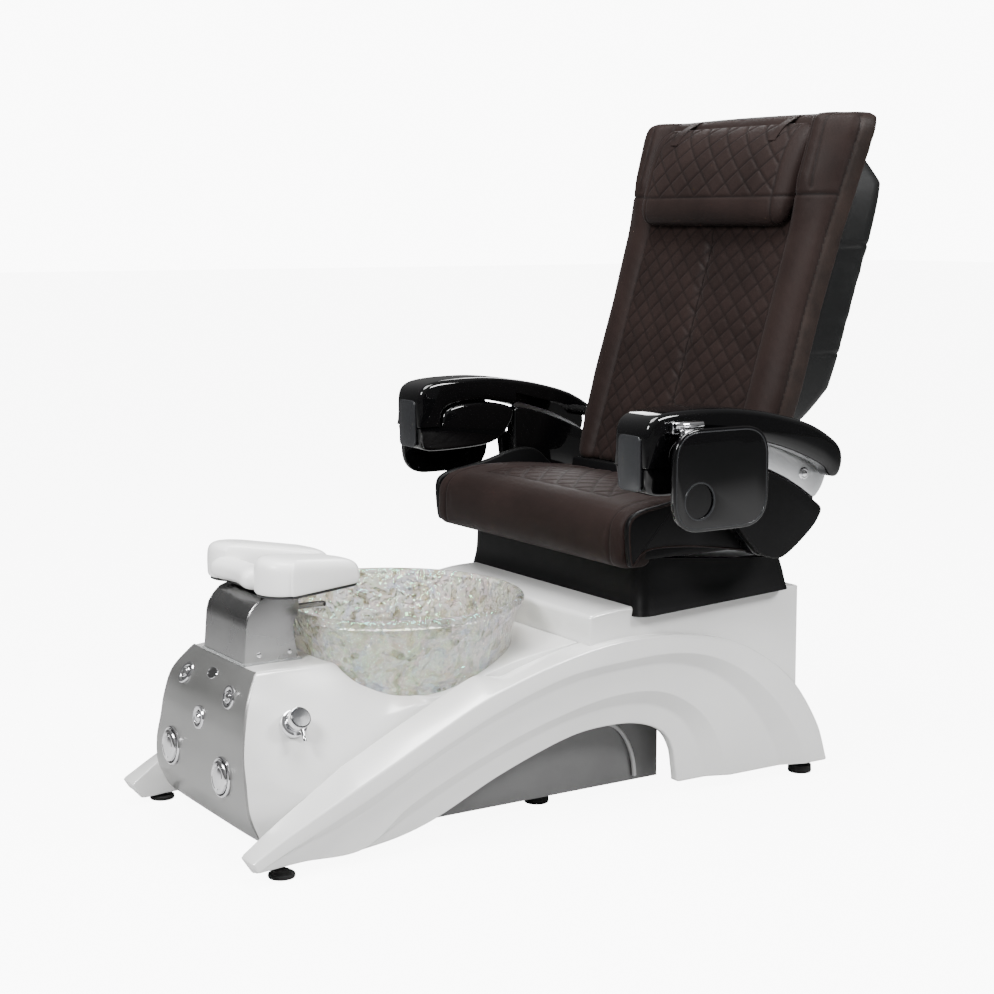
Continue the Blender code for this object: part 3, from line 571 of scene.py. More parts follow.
SKIRT = Finish("skirt_black", (.0036, .0036, .0038), (.0024, .0024, .0026), .42, gleam=.12, scale=800.0,
               relief=.10, spread=3.0)
SOFT_BLACK = Finish("soft_black_cover", (.0058, .0060, .0062), (.0038, .0040, .0042), .42,
                    effect=Effect.GRAIN, gleam=.28, scale=380.0, relief=.28, depth=.0006)
# Both leathers darken along their sunk seams (seams=True): painted shade.
LEATHER = Finish("espresso_leather", (.0150, .0086, .0074), (.0105, .0060, .0052), .60, effect=Effect.GRAIN,
                 gleam=.10, scale=430.0, relief=.15, depth=.0006, sheen=.02, spread=9.0, seams=True)
EDGE_LEATHER = Finish("chestnut_edge_leather", (.020, .0112, .0085), (.012, .0072, .0058), .52,
                      effect=Effect.GRAIN, gleam=.22, scale=430.0, relief=.22, depth=.0006, spread=22.0,
                      seams=True)
PAD = Finish("white_pad_skin", (.92, .92, .91), (.89, .89, .88), .32, coat=.2, coat_roughness=.2, scale=600.0,
             relief=.06, spread=5.0)
RUBBER = Finish("foot_rubber", (.006, .006, .006), (.004, .004, .004), .62, gleam=.3, scale=900.0, relief=.2)
LINER = Finish("grey_liner_skin", (.130, .130, .130), (.095, .095, .095), .40, scale=500.0, relief=.08,
               spread=4.0)
ZINC = Finish("zinc_plate", (.50, .51, .52), (.42, .43, .44), .34, metallic=.9, scale=500.0)


# ---- moulded base ----------------------------------------------------------------
@dataclass
class BaseMoulding:
    """The white moulded base: stepped side arches, nose and deck, raised box, liner and feet."""
    inner_x: float = 0.2503
    outer_x: float = 0.312
    stations: int = 140
    ridge: tuple = ((-.725, .044), (-.650, .085), (-.522, .147), (-.391, .211), (-.242, .278), (-.080, .325),
                    (.060, .345), (.200, .338), (.340, .305), (.467, .224), (.545, .120), (.578, .030))
    groove: tuple = ((-.714, .026), (-.645, .060), (-.510, .120), (-.380, .181), (-.235, .243), (-.080, .290),
                     (.060, .304), (.190, .304), (.300, .275), (.400, .210), (.480, .120), (.526, .030))
    step: tuple = ((-.708, .018), (-.620, .024), (-.500, .028), (-.400, .096), (-.215, .172), (-.060, .216),
                   (.060, .234), (.160, .226), (.235, .190), (.285, .140), (.315, .080), (.332, .030))
    edge: tuple = ((-.704, .012), (-.618, .016), (-.498, .018), (-.361, .044), (-.200, .111), (-.045, .160),
                   (.060, .169), (.130, .160), (.180, .136), (.204, .100), (.212, .060), (.216, .030))
    pedestal_x: float = 0.289
    pedestal_y: tuple[float, float] = (-.012, .5075)
    pedestal_top: float = 0.403
    gelcoat: Skin = field(default_factory=GELCOAT.build)

    def build(self) -> None:
        """Make every piece of the base."""
        for side, sign in SIDES:
            finish_piece(self.arch(side, sign), "base", "gelcoat", f"arch_{side}")
        finish_piece(self.tub(), "base", "gelcoat", "tub_body")
        finish_piece(self.pedestal(), "base", "gelcoat", "pedestal")
        self.liner()
        self.feet()

    def arch(self, side: str, sign: float) -> Thing:
        """One stepped arch.

        Four smooth lines run from the ski tip to the rear foot: ridge, groove, step and the
        opening's edge. At each station they and the inner wall make one closed section, whose
        corners are rounded, and the sections are carried along the lines.

        Args:
            side: left or right.
            sign: which way x goes.

        Returns:
            The arch.
        """
        ridge, groove, step, edge = (catmull(line, self.stations)
                                     for line in (self.ridge, self.groove, self.step, self.edge))
        y = ridge[:, 0]
        rise = .030 * np.clip((y + .725) / .20, 0, 1) * np.clip((-.190 - y) / .06, 0, 1)
        face = self.outer_x - .010 * np.clip((-y - .45) / .25, 0, 1)
        inner = np.full_like(y, self.inner_x)
        height = np.array([0.0, 1.0])
        fall = groove + (step - groove) * .30
        drop = step + (edge - step) * .42
        columns = [(inner, ridge + rise[:, None] * height), (face, ridge), (face - .0005, groove),
                   (face - .0200, fall), (face - .0205, step),
                   (face - .0400, drop), (face - .0405, edge), (inner, edge)]
        rings = np.stack([np.column_stack([sign * x, yz]) for x, yz in columns], axis=1)
        radius = np.array([.004, .0045, .0022, .0050, .0022, .0050, .0045, .004])
        return tube(f"side_arch_{side}", domed(soften(rings, radius, 5), .004), self.gelcoat, 60)

    def tub(self) -> Thing:
        """The nose and deck, lofted from the front panel's curved edge, with the bowl's recess cut in."""
        front = np.array(((.138, -.636, .337), (.167, -.667, .290), (.180, -.680, .240), (.1885, -.685, .195),
                          (.2016, -.689, .145), (.206, -.685, .095), (.205, -.663, .045)))
        tops = np.array(((-.60, .146, .338), (-.53, .150, .338), (-.470, .152, .337), (-.435, .160, .330),
                         (-.404, .176, .306), (-.370, .206, .281), (-.330, .2490, .2745),
                         (-.270, .2490, .2860), (-.217, .2490, .3030), (-.150, .2490, .3200),
                         (-.080, .2490, .3310), (-.0135, .2490, .3390)))
        side_x = self.inner_x - .0006
        sections = [front]
        for y, x, z in tops:
            crease = max(min(.135 + (y + .60) * .55, z - .012), .120)
            wall = [np.array((x, y, z)) + (np.array((side_x, y, crease)) - (x, y, z)) * t
                    for t in (0, .3, .6, 1)]
            low = [np.array((side_x, y, h)) for h in (crease * .7 + .03, crease * .35 + .04, .045)]
            sections.append(np.array(wall + low))
        lines = np.array(sections)
        dense = np.stack([catmull(lines[:, k], 90) for k in range(lines.shape[1])], axis=1)
        dense[:, :, 0] = np.minimum(dense[:, :, 0], side_x)
        mirrored = dense[:, ::-1] * (-1, 1, 1)
        rings = np.concatenate([dense, mirrored], axis=1)
        radius = np.full(rings.shape[1], .03)
        radius[[0, -1]] = .009
        radius[[6, 7]] = .004
        body = tube("tub_and_deck", soften(rings, radius, 6), self.gelcoat, 50)
        FootBowl().carve(body, .0020)
        outline = ((-.590, -.02), (-.590, .150), (-.40, .150), (-.34, .1655), (.02, .1655), (.02, -.02))
        carve(body, slab("liner_room", outline, .212))
        opening = ((-.46, -.02), (-.36, .045), (-.20, .112), (-.045, .165), (.02, .170), (.02, -.02))
        carve(body, slab("arch_room", opening, .30))
        for x, z in Controls.buttons:
            at, out = Controls.spot(x, z)
            carve(body, turned("well", ((.020, -.03), (.020, .02)), at, out, self.gelcoat, 24))
        return body

    def pedestal(self) -> Thing:
        """The raised box: its side outline follows the arches' ridge line, its top is rounded."""
        ridge = catmull(self.ridge, self.stations)
        front, rear = self.pedestal_y
        inside = ridge[(ridge[:, 0] > front) & (ridge[:, 0] < rear)]
        ends = [(y, float(np.interp(y, ridge[:, 0], ridge[:, 1]))) for y in (front, rear)]
        lower = np.vstack([ends[0], inside, ends[1]]) - (0, .0085)
        upper = np.array(((rear, self.pedestal_top), (.040, self.pedestal_top),
                          (front, self.pedestal_top - .008)))
        outline = np.vstack([lower, upper])
        corner = np.full(len(outline), .0005)
        corner[-3:] = (.006, .05, .010)
        corner[[0, len(lower) - 1]] = .001
        return plate("raised_box", outline, -self.pedestal_x, self.pedestal_x, self.gelcoat, .007, corner)

    def liner(self) -> None:
        """The light rib that arches over the rear end of the inner shell."""
        arcs = np.linspace(math.pi * .02, math.pi * .52, 40)
        for side, sign in SIDES:
            path = np.column_stack([np.full(40, sign * .2105), .075 + .080 * np.cos(arcs),
                                    .030 + .126 * np.sin(arcs)])
            around = full_turn(12)
            outward_dir = np.column_stack([np.zeros(40), np.cos(arcs), np.sin(arcs)])
            rings = (path[:, None] + outward_dir[:, None] * (np.cos(around) * .0045)[None, :, None]
                     + np.array([sign, 0, 0]) * (np.sin(around) * .0040)[None, :, None])
            finish_piece(tube(f"liner_rib_{side}", rings, RIB.build()), "base", "liner_grey")

    def feet(self) -> None:
        """Round rubber feet with a flared sole and a ribbed collar under every support."""
        for spot in ("front", "middle", "rear"):
            for side, _ in SIDES:
                node = f"{spot}_foot_{side}"
                low, high = np.array(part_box(node))
                radius, top = (high[0] - low[0]) / 2, high[2]
                collar = top * .55
                profile = [(radius * .80, 0), (radius * .96, .0010), (radius, .0035), (radius * .98, collar),
                           (radius * .90, collar + .0015), (radius * .62, collar + .0020),
                           (radius * .60, top)]
                centre = ((low[0] + high[0]) / 2, (low[1] + high[1]) / 2, 0)
                foot = turned(f"rubber_foot_{spot}_{side}", profile, centre, (0, 0, 1), RUBBER.build(), 40)
                finish_piece(foot, "base", "rubber", node)


RIB = Finish("liner_rib_skin", (.34, .34, .34), (.30, .30, .30), .40, scale=500.0)


def slab(name: str, outline: Sequence[Sequence[float]], half: float) -> Thing:
    """A straight block across the chair, used only to carve with."""
    flat = np.asarray(outline, float)
    rings = np.array([np.column_stack([np.full(len(flat), x), flat]) for x in (-half, half)])
    return tube(name, rings, GELCOAT.build(), 30)


def carve(body: Thing, tool: Thing) -> None:
    """Take a tool's shape out of a body for good, and remove the tool.

    Args:
        body: the piece that loses material.
        tool: the shape to take away.
    """
    step = body.modifiers.new("carve", "BOOLEAN")
    step.operation = "DIFFERENCE"
    step.object = tool
    view = bpy.context.evaluated_depsgraph_get()
    solid = bpy.data.meshes.new_from_object(body.evaluated_get(view))
    body.modifiers.remove(step)
    old = body.data
    body.data = solid
    bpy.data.meshes.remove(old)
    bpy.data.objects.remove(tool, do_unlink=True)
    body.data.set_sharp_from_angle(angle=math.radians(40))


# ---- foot bowl -------------------------------------------------------------------
@dataclass
class FootBowl:
    """The mottled crystal bowl: a cut-off ellipse in plan that tapers to its foot."""
    centre_y: float = -0.295
    rim: float = 0.422
    wall: float = 0.010
    levels: tuple = ((.170, .150, .150), (.178, .175, .172), (.230, .212, .212), (.300, .240, .236),
                     (.380, .258, .254), (.422, .268, .262))
    around: int = 220

    def front(self, z: Array | float) -> Array | float:
        """Where the flat front wall stands at a height."""
        return self.centre_y - .150 - .072 * (np.asarray(z) - .170) / .252

    def ring(self, z: float, half_x: float, half_y: float, grow: float) -> Array:
        """One level: an ellipse whose front is cut flat and whose two front corners are rounded.

        The cut is a soft minimum, (|a|^n + |b|^n)^(1/n) with n = 18 in reach from the centre, so the
        corner turns over a few centimetres.

        Args:
            z: the level's height.
            half_x: half-width before growth.
            half_y: half-length before growth.
            grow: how far outward to move.

        Returns:
            The ring's points.
        """
        angle = full_turn(self.around)
        a, b = half_x + grow, half_y + grow
        ellipse = 1 / np.sqrt((np.cos(angle) / a) ** 2 + (np.sin(angle) / b) ** 2)
        reach = self.centre_y - float(self.front(z)) + grow
        flat = reach / np.maximum(-np.sin(angle), 1e-3)
        radius = (ellipse ** -18.0 + flat ** -18.0) ** (-1 / 18.0)
        return np.column_stack([radius * np.cos(angle), self.centre_y + radius * np.sin(angle),
                                np.full(self.around, z)])

    def carve(self, body: Thing, grow: float) -> None:
        """Cut the bowl's outer shape, a little grown, from a body.

        Args:
            body: what is cut.
            grow: clearance all round.
        """
        rings = [self.ring(z, x, y, grow) for z, x, y in self.levels]
        rings[0][:, 2] -= grow
        rings.append(rings[-1] + (0, 0, .04))
        carve(body, tube("bowl_room", np.array(rings), GELCOAT.build(), 30))

    def build(self) -> None:
        """Make the bowl, its rolled rim and the fittings in its foot."""
        profile = catmull(self.levels, 34)
        outer = [self.ring(z, x, y, 0.0) for z, x, y in profile[:-2]]
        rim_z, rim_x, rim_y = profile[-1]
        lip = ((-.016, .0015), (-.013, .0060), (-.006, .0078), (-.001, .0060), (.0015, .0010),
               (.0012, -.0055), (-.002, -.0090), (-.008, -.0105))
        rolled = [self.ring(rim_z + dz, rim_x, rim_y, grow) for dz, grow in lip]
        inner = [self.ring(z, x, y, -self.wall) for z, x, y in profile[-3:1:-1]]
        floor = [self.ring(self.levels[0][0] + .009, self.levels[1][1] * s, self.levels[1][2] * s, -.010)
                 for s in (.85, .55, .30)]
        rings = np.array(outer + rolled + inner + floor)
        bowl = tube("crystal_bowl", rings, self.glass(), 60)
        finish_piece(bowl, "base", "crystal_glass", "glass_bowl")
        strainer = turned("strainer_ring", ((.034, .0), (.034, .003), (.030, .0042), (.012, .0036),
                                            (.004, .0042)),
                          (0, self.centre_y, .1800), (0, 0, 1), CHROME.build(), 40)
        finish_piece(strainer, "base", "chrome", "drain_strainer")
        jet = turned("jet_cap", ((.036, 0), (.0365, .008), (.033, .013), (.020, .0155), (.018, .0140),
                                 (.006, .0165)),
                     (0, self.centre_y - .100, .1806), (0, 0, 1), PAD.build(), 44)
        finish_piece(jet, "base", "gelcoat", "jet_cover")

    def glass(self) -> Skin:
        """Mottled iridescent crystal.

        Warped cells give facets of slightly different tilt; a second set of cells picks pastel
        tints from a ramp, between clear smoky grey, warm beige, pink, green and pale blue. The smoky grey
        is partly the glass's own tint and partly painted reflection, deepened to stand in for the dark
        streaks that reflections lay across the bowl.

        Returns:
            The bowl's material.
        """
        made = bpy.data.materials.new("iridescent_crystal")
        made.use_nodes = True
        tree = made.node_tree
        shader = tree.nodes["Principled BSDF"]
        where = tree.nodes.new("ShaderNodeTexCoord").outputs["Object"]
        swirl = noise_node(tree, where, 16.0, 3.0, .6)
        warp = tree.nodes.new("ShaderNodeMix")
        warp.data_type = "RGBA"
        warp.blend_type = "LINEAR_LIGHT"
        warp.inputs[0].default_value = .045
        tree.links.new(where, warp.inputs[6])
        tree.links.new(swirl.outputs["Color"], warp.inputs[7])
        cells = tree.nodes.new("ShaderNodeTexVoronoi")
        cells.inputs["Scale"].default_value = 64.0
        tree.links.new(warp.outputs[2], cells.inputs["Vector"])
        facets = tree.nodes.new("ShaderNodeTexVoronoi")
        facets.feature = "SMOOTH_F1"
        facets.inputs["Scale"].default_value = 70.0
        tree.links.new(warp.outputs[2], facets.inputs["Vector"])
        pick = tree.nodes.new("ShaderNodeSeparateColor")
        tree.links.new(cells.outputs["Color"], pick.inputs[0])
        tint = tree.nodes.new("ShaderNodeValToRGB")
        # The first stop, dark smoky grey, is partly the glass's tint and partly painted reflection of dark
        # streaks.
        stops = ((0.0, (.34, .31, .23)), (.12, (.74, .68, .50)), (.26, (1.0, .98, .90)),
                 (.46, (.95, .80, .80)), (.58, (1.0, 1.0, .96)), (.70, (.82, .93, .68)),
                 (.80, (1.0, 1.0, .96)), (1.0, (.76, .80, .96)))
        tint.color_ramp.elements[0].color = (*stops[0][1], 1)
        tint.color_ramp.elements[1].color = (*stops[-1][1], 1)
        for place, colour in stops[1:-1]:
            tint.color_ramp.elements.new(place).color = (*colour, 1)
        tree.links.new(pick.outputs[0], tint.inputs[0])
        tree.links.new(tint.outputs[0], shader.inputs["Base Color"])
        shader.inputs["Transmission Weight"].default_value = .84
        shader.inputs["Roughness"].default_value = .05
        shader.inputs["IOR"].default_value = 1.42
        shader.inputs["Thin Film Thickness"].default_value = 420.0
        shader.inputs["Thin Film IOR"].default_value = 1.6
        bump = tree.nodes.new("ShaderNodeBump")
        bump.inputs["Strength"].default_value = .85
        bump.inputs["Distance"].default_value = .0090
        height = math_node(tree, "ADD", facets.outputs["Distance"],
                           math_node(tree, "MULTIPLY", swirl.outputs["Fac"], .8))
        tree.links.new(height, bump.inputs["Height"])
        tree.links.new(bump.outputs["Normal"], shader.inputs["Normal"])
        return made


# ---- front controls --------------------------------------------------------------
@dataclass
class Controls:
    """The curved front panel with its buttons, dials, badge and mixer."""
    buttons = ((-.097, .294), (.102, .289), (-.004, .230))
    dials = (("water", -.120, .150), ("air", .110, .146))
    panel: tuple = ((.138, -.641, .337), (.167, -.672, .290), (.180, -.685, .240), (.1885, -.690, .195),
                    (.2016, -.694, .145), (.206, -.690, .095), (.205, -.668, .045))

    @classmethod
    def spot(cls, x: float, z: float) -> tuple[Array, Array]:
        """A point on the panel's face and the direction straight out of it.

        Args:
            x: sideways place.
            z: height.

        Returns:
            The point and the unit direction.
        """
        line = np.array(cls.panel)[::-1]
        y = float(np.interp(z, line[:, 2], line[:, 1]))
        k = int(np.clip(np.searchsorted(line[:, 2], z), 1, len(line) - 1))
        dy, dz = line[k, 1:] - line[k - 1, 1:]
        out = np.array([0.0, -dz, dy]) / math.hypot(dy, dz)
        return np.array([x, y, z]), out

    def build(self) -> None:
        """Make the panel and everything on it."""
        self.face()
        self.badge()
        for count, (x, z) in enumerate(self.buttons, 1):
            self.button(count, x, z)
        for name, x, z in self.dials:
            self.dial(name, x, z)
        self.mixer()

    def face(self) -> None:
        """The silver panel: a skin on the tub's nose, with a rounded border, cut for the controls."""
        rows = catmull(self.panel, 60)
        across = np.linspace(-1, 1, 41)
        wide = rows[:, :1] * across[None]
        bulge = -.0030 * (1 - across ** 4)[None] * np.ones_like(rows[:, :1])
        depth = rows[:, 1:2] + bulge + .0030
        front = np.stack([wide, depth, np.repeat(rows[:, 2:], 41, axis=1)], axis=2)
        back = front + (0, .0046, 0)
        edge = .0016
        rings = []
        for k in range(len(rows)):
            top = 1 if 0 < k < len(rows) - 1 else 0
            face = front[k] + np.array([0, edge * (1 - top), 0])
            ends = np.array([face[-1] + (.0004, edge, 0), back[k][-1]])
            starts = np.array([back[k][0], face[0] + (-.0004, edge, 0)])
            rings.append(np.vstack([face, ends, back[k][-2:0:-1], starts]))
        skin = tube("silver_front_panel", np.array(rings), SILVER.build(), 45)
        for x, z in self.buttons:
            at, out = self.spot(x, z)
            carve(skin, turned("hole", ((.0185, -.02), (.0185, .02)), at, out, SILVER.build(), 40))
        finish_piece(skin, "base", "silver_panel", "front_panel")

    def badge(self) -> None:
        """A plain oval plate with a raised bright border."""
        at, out = self.spot(0.0, .311)
        at = at - out * .0006
        up = np.cross(out, (1.0, 0, 0))
        up = up / np.linalg.norm(up) * (1 if up[2] > 0 else -1)
        around = full_turn(64)
        oval = np.cos(around)[:, None] * (1, 0, 0)
        for name, slot_name, skin, profile in (
                ("badge_oval", "gloss_black", SATIN, ((1.0, 0), (1.0, .0010), (.95, .0018), (.5, .0022),
                                                      (.05, .0023))),
                ("badge_border", "chrome", CHROME, ((1.0, .0002), (1.07, .0008), (1.07, .0020), (1.02, .0027),
                                                    (.96, .0024), (.945, .0015)))):
            rings = [at + out * rise + scale * (.018 * oval + .011 * np.sin(around)[:, None] * up)
                     for scale, rise in profile]
            plate_piece = tube(name, np.array(rings), skin.build(), 40, closed=name == "badge_border")
            finish_piece(plate_piece, "base", slot_name, *(("badge_plate",) if name == "badge_oval" else ()))

    def button(self, count: int, x: float, z: float) -> None:
        """A push button: bright outer ring, a black ring of painted shade in the gap round the cap, and a
        domed cap with a plain raised centre.
        """
        at, out = self.spot(x, z)
        at = at - out * .0008
        rim = ((.0135, -.004), (.0205, -.001), (.0220, .0003), (.0222, .0022), (.0208, .0042), (.0175, .0046),
               (.0150, .0036), (.0136, .0018))
        ring = turned(f"button_ring_{count}", rim, at, out, CHROME.build(), 56, 30, loop=True)
        finish_piece(ring, "base", "chrome")
        # A black ring set in the gap between the bright ring and the cap: painted shade where the gap is in
        # shadow.
        groove = turned(f"button_groove_{count}", ((.0134, -.005), (.0134, .0008), (.0120, .0010),
                                                   (.0118, -.005)),
                        at, out, SATIN.build(), 40, 30, loop=True)
        finish_piece(groove, "base", "satin_black")
        cap = ((.0116, -.0035), (.0117, .0044), (.0108, .0056), (.0085, .0059), (.0076, .0052),
               (.0070, .0052), (.0064, .0060), (.0040, .0066), (.0008, .0068))
        finish_piece(turned(f"button_face_{count}", cap, at, out, CHROME.build(), 48, 30), f"button_{count}",
                     "chrome", f"button_cap_{count}")

    def dial(self, name: str, x: float, z: float) -> None:
        """A round control: seat ring on the panel, a black ring of painted shade in the gap under the disc,
        and a domed disc with a small ridge.
        """
        at, out = self.spot(x, z)
        at = at - out * .0008
        rim = ((.0328, -.0030), (.0362, -.0005), (.0372, .0018), (.0362, .0040), (.0340, .0046),
               (.0326, .0036))
        finish_piece(turned(f"{name}_dial_rim", rim, at, out, CHROME.build(), 72, 30, loop=True), "base",
                     "chrome")
        # A black ring set in the gap between the seat ring and the disc: painted shade where the gap is in
        # shadow.
        gap = ((.0325, -.004), (.0325, .0012), (.0312, .0012), (.0312, -.004))
        finish_piece(turned(f"{name}_dial_gap", gap, at, out, SATIN.build(), 60, 30, loop=True), "base",
                     "satin_black")
        cap = ((.0300, -.0005), (.0304, .0062), (.0296, .0084), (.0270, .0098), (.0225, .0104),
               (.0215, .0096), (.0200, .0096), (.0190, .0106), (.0120, .0122), (.0050, .0128), (.0008, .0129))
        disc = turned(f"{name}_dial_face", cap, at, out, CHROME.build(), 72, 30)
        finish_piece(disc, f"{name}_control", "chrome", f"{name}_dial")
        up = np.cross((1.0, 0, 0), out)
        grip = np.array([at + out * .0095 + up * s for s in (-.026, .026)])
        bar = turned(f"{name}_dial_grip", ((.0006, 0), (.0024, .0008), (.0030, .004), (.0030, .048),
                                           (.0024, .0512), (.0006, .052)), grip[0], up, CHROME.build(), 20,
                     40)
        finish_piece(bar, f"{name}_control", "chrome")

    def mixer(self) -> None:
        """The mixer: wall plate, stepped bright collar, dark knob face and a short lever."""
        at = np.array([.201, -.592, .252])
        out = np.array([.84, 0, .54])
        out /= np.linalg.norm(out)
        base = ((.0250, -.008), (.0252, .0010), (.0244, .0026), (.0220, .0036), (.0170, .0042))
        finish_piece(turned("mixer_plate", base, at, out, CHROME.build(), 64, 30), "base", "chrome",
                     "faucet_plate")
        body = ((.0150, .0046), (.0182, .0060), (.0190, .0085), (.0190, .0125), (.0172, .0136),
                (.0172, .0150), (.0196, .0160), (.0202, .0190), (.0200, .0290), (.0194, .0306),
                (.0184, .0310))
        finish_piece(turned("mixer_collar", body, at, out, CHROME.build(), 64, 30), "faucet", "chrome",
                     "faucet_knob")
        cap = ((.0183, .0300), (.0184, .0318), (.0170, .0328), (.0008, .0332))
        finish_piece(turned("mixer_cap", cap, at, out, CAP_GREY.build(), 56, 30), "faucet", "chrome")
        down = np.array([.54, 0, -.84])
        start = at + out * .0225 + down * .016
        lever = ((.0046, 0), (.0042, .006), (.0034, .012), (.0036, .020), (.0042, .0245), (.0034, .0268),
                 (.0008, .0276))
        finish_piece(turned("mixer_lever", lever, start, down, CHROME.build(), 28, 40), "faucet", "chrome")


# ---- column and foot rest --------------------------------------------------------
@dataclass
class Column:
    """The brushed steel column that carries the foot rest, and its two rails."""
    half: float = 0.087
    profile: tuple = ((-.637, .3386), (-.631, .412), (-.6265, .4285), (-.6165, .443), (-.6025, .456),
                      (-.585, .4618), (-.5235, .4618), (-.5235, .432), (-.536, .402), (-.527, .3386))

    def build(self) -> None:
        """Make the folded cover, its side cheeks with screws, the clear gasket and the rails."""
        outline = soften(np.insert(np.array(self.profile), 0, 0, axis=1)[None],
                         np.array([.0015, .008, .02, .02, .02, .02, .0020, .008, .008, .0015]), 6)[0]
        rings = []
        for x, pull in ((-self.half, .0012), (-self.half + .0012, 0.0), (0.0, 0.0), (self.half - .0012, 0.0),
                        (self.half, .0012)):
            inward = np.insert(inset_direction(outline[:, 1:]), 0, 0, axis=1)
            rings.append(outline + inward * pull + (x, 0, 0))
        finish_piece(tube("column_wrap", np.array(rings), STEEL.build(), 38), "base", "stainless",
                     "column_cover")
        for side, sign in SIDES:
            self.cheek(side, sign)
            self.rail(side)
        skirt = ((-.640, .3375), (-.640, .3425), (-.520, .3425), (-.520, .3375))
        gasket = plate("column_gasket", skirt, -self.half - .003, self.half + .003, self.clear(), .0008,
                       .0012)
        finish_piece(gasket, "base", "crystal_glass")

    def cheek(self, side: str, sign: float) -> None:
        """One side plate with its two domed screws, set a hair proud of the cover."""
        low, high = side_span(sign, self.half + .0003, self.half + .0024)
        outline = np.array(self.profile) * (.985, 1) + (-.0087, 0)
        face = plate(f"column_cheek_{side}", outline, low, high, STEEL.build(), .0007, .004)
        finish_piece(face, "base", "stainless", f"column_plate_{side}")
        for count, y in enumerate((-.607, -.545)):
            head = ((.0052, 0), (.0052, .0010), (.0042, .0024), (.0018, .0030), (.0016, .0018),
                    (.0002, .0018))
            screw = turned(f"column_screw_{side}_{count}", head, (sign * (self.half + .0023), y, .3555),
                           (sign, 0, 0), CHROME.build(), 24, 40)
            finish_piece(screw, "base", "stainless")

    def rail(self, side: str) -> None:
        """A square rail that runs back from the column, closed by a black plastic cap."""
        low, high = np.array(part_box(f"footrest_rail_{side}"))
        y0, z0, y1, z1 = low[1], low[2], high[1] - .004, high[2]
        square = ((y0, z0), (y0, z1), (y1, z1), (y1, z0))
        bar = plate(f"foot_rail_{side}", square, low[0], high[0], STEEL.build(), .0012, .001)
        finish_piece(bar, "base", "stainless", f"footrest_rail_{side}")
        end = ((y1 + .0003, z0 - .0004), (y1 + .0003, z1 + .0004), (y1 + .0050, z1 - .0004),
               (y1 + .0050, z0 + .0004))
        cap = plate(f"foot_rail_end_{side}", end, low[0] - .0004, high[0] + .0004, SATIN.build(), .0015,
                    .0015)
        finish_piece(cap, "base", "satin_black")

    @staticmethod
    def clear() -> Skin:
        """Clear plastic of the gasket under the column."""
        made = Finish("clear_gasket", (.80, .82, .82), (.70, .72, .72), .12, scale=500.0).build()
        made.node_tree.nodes["Principled BSDF"].inputs["Transmission Weight"].default_value = .7
        return made


# ---- upholstery ------------------------------------------------------------------
PLANE_Y, PLANE_Z, SLOPE = 0.405, 0.765, 0.305


def lean(z: Array | float) -> Array | float:
    """The y of the back's front plane at a height."""
    return PLANE_Y + SLOPE * (np.asarray(z) - PLANE_Z)


def vertices(piece: Thing) -> Array:
    """The piece's vertex places, one row each."""
    flat = np.empty(len(piece.data.vertices) * 3)
    piece.data.vertices.foreach_get("co", flat)
    return flat.reshape(-1, 3)


def write_vertices(piece: Thing, points: Array) -> None:
    """Set the piece's vertex places."""
    piece.data.vertices.foreach_set("co", points.reshape(-1))
    piece.data.update()


def apply_all(piece: Thing) -> None:
    """Bake the piece's modifiers into its mesh."""
    view = bpy.context.evaluated_depsgraph_get()
    baked = bpy.data.meshes.new_from_object(piece.evaluated_get(view))
    piece.modifiers.clear()
    old = piece.data
    piece.data = baked
    bpy.data.meshes.remove(old)


def line_mask(distance: Array, width: float) -> Array:
    """Soft mask of a sewn line: exp(-(distance / width)^2)."""
    return np.exp(-(distance / width) ** 2)


def diamonds(across: Array, along: Array, wide: float, tall: float) -> Array:
    """Distance to the nearest line of a diamond quilting pattern.

    The two families of lines are across / wide + along / tall and across / wide - along / tall
    at whole numbers; the distance is their difference from one over the gradient's length.

    Args:
        across: sideways place.
        along: place up the panel.
        wide: width of one diamond.
        tall: height of one diamond.

    Returns:
        The distance in metres.
    """
    steep = math.hypot(1 / wide, 1 / tall)
    runs = [across / wide + sign * along / tall for sign in (1, -1)]
    return np.minimum(*(np.abs(run - np.round(run)) / steep for run in runs))


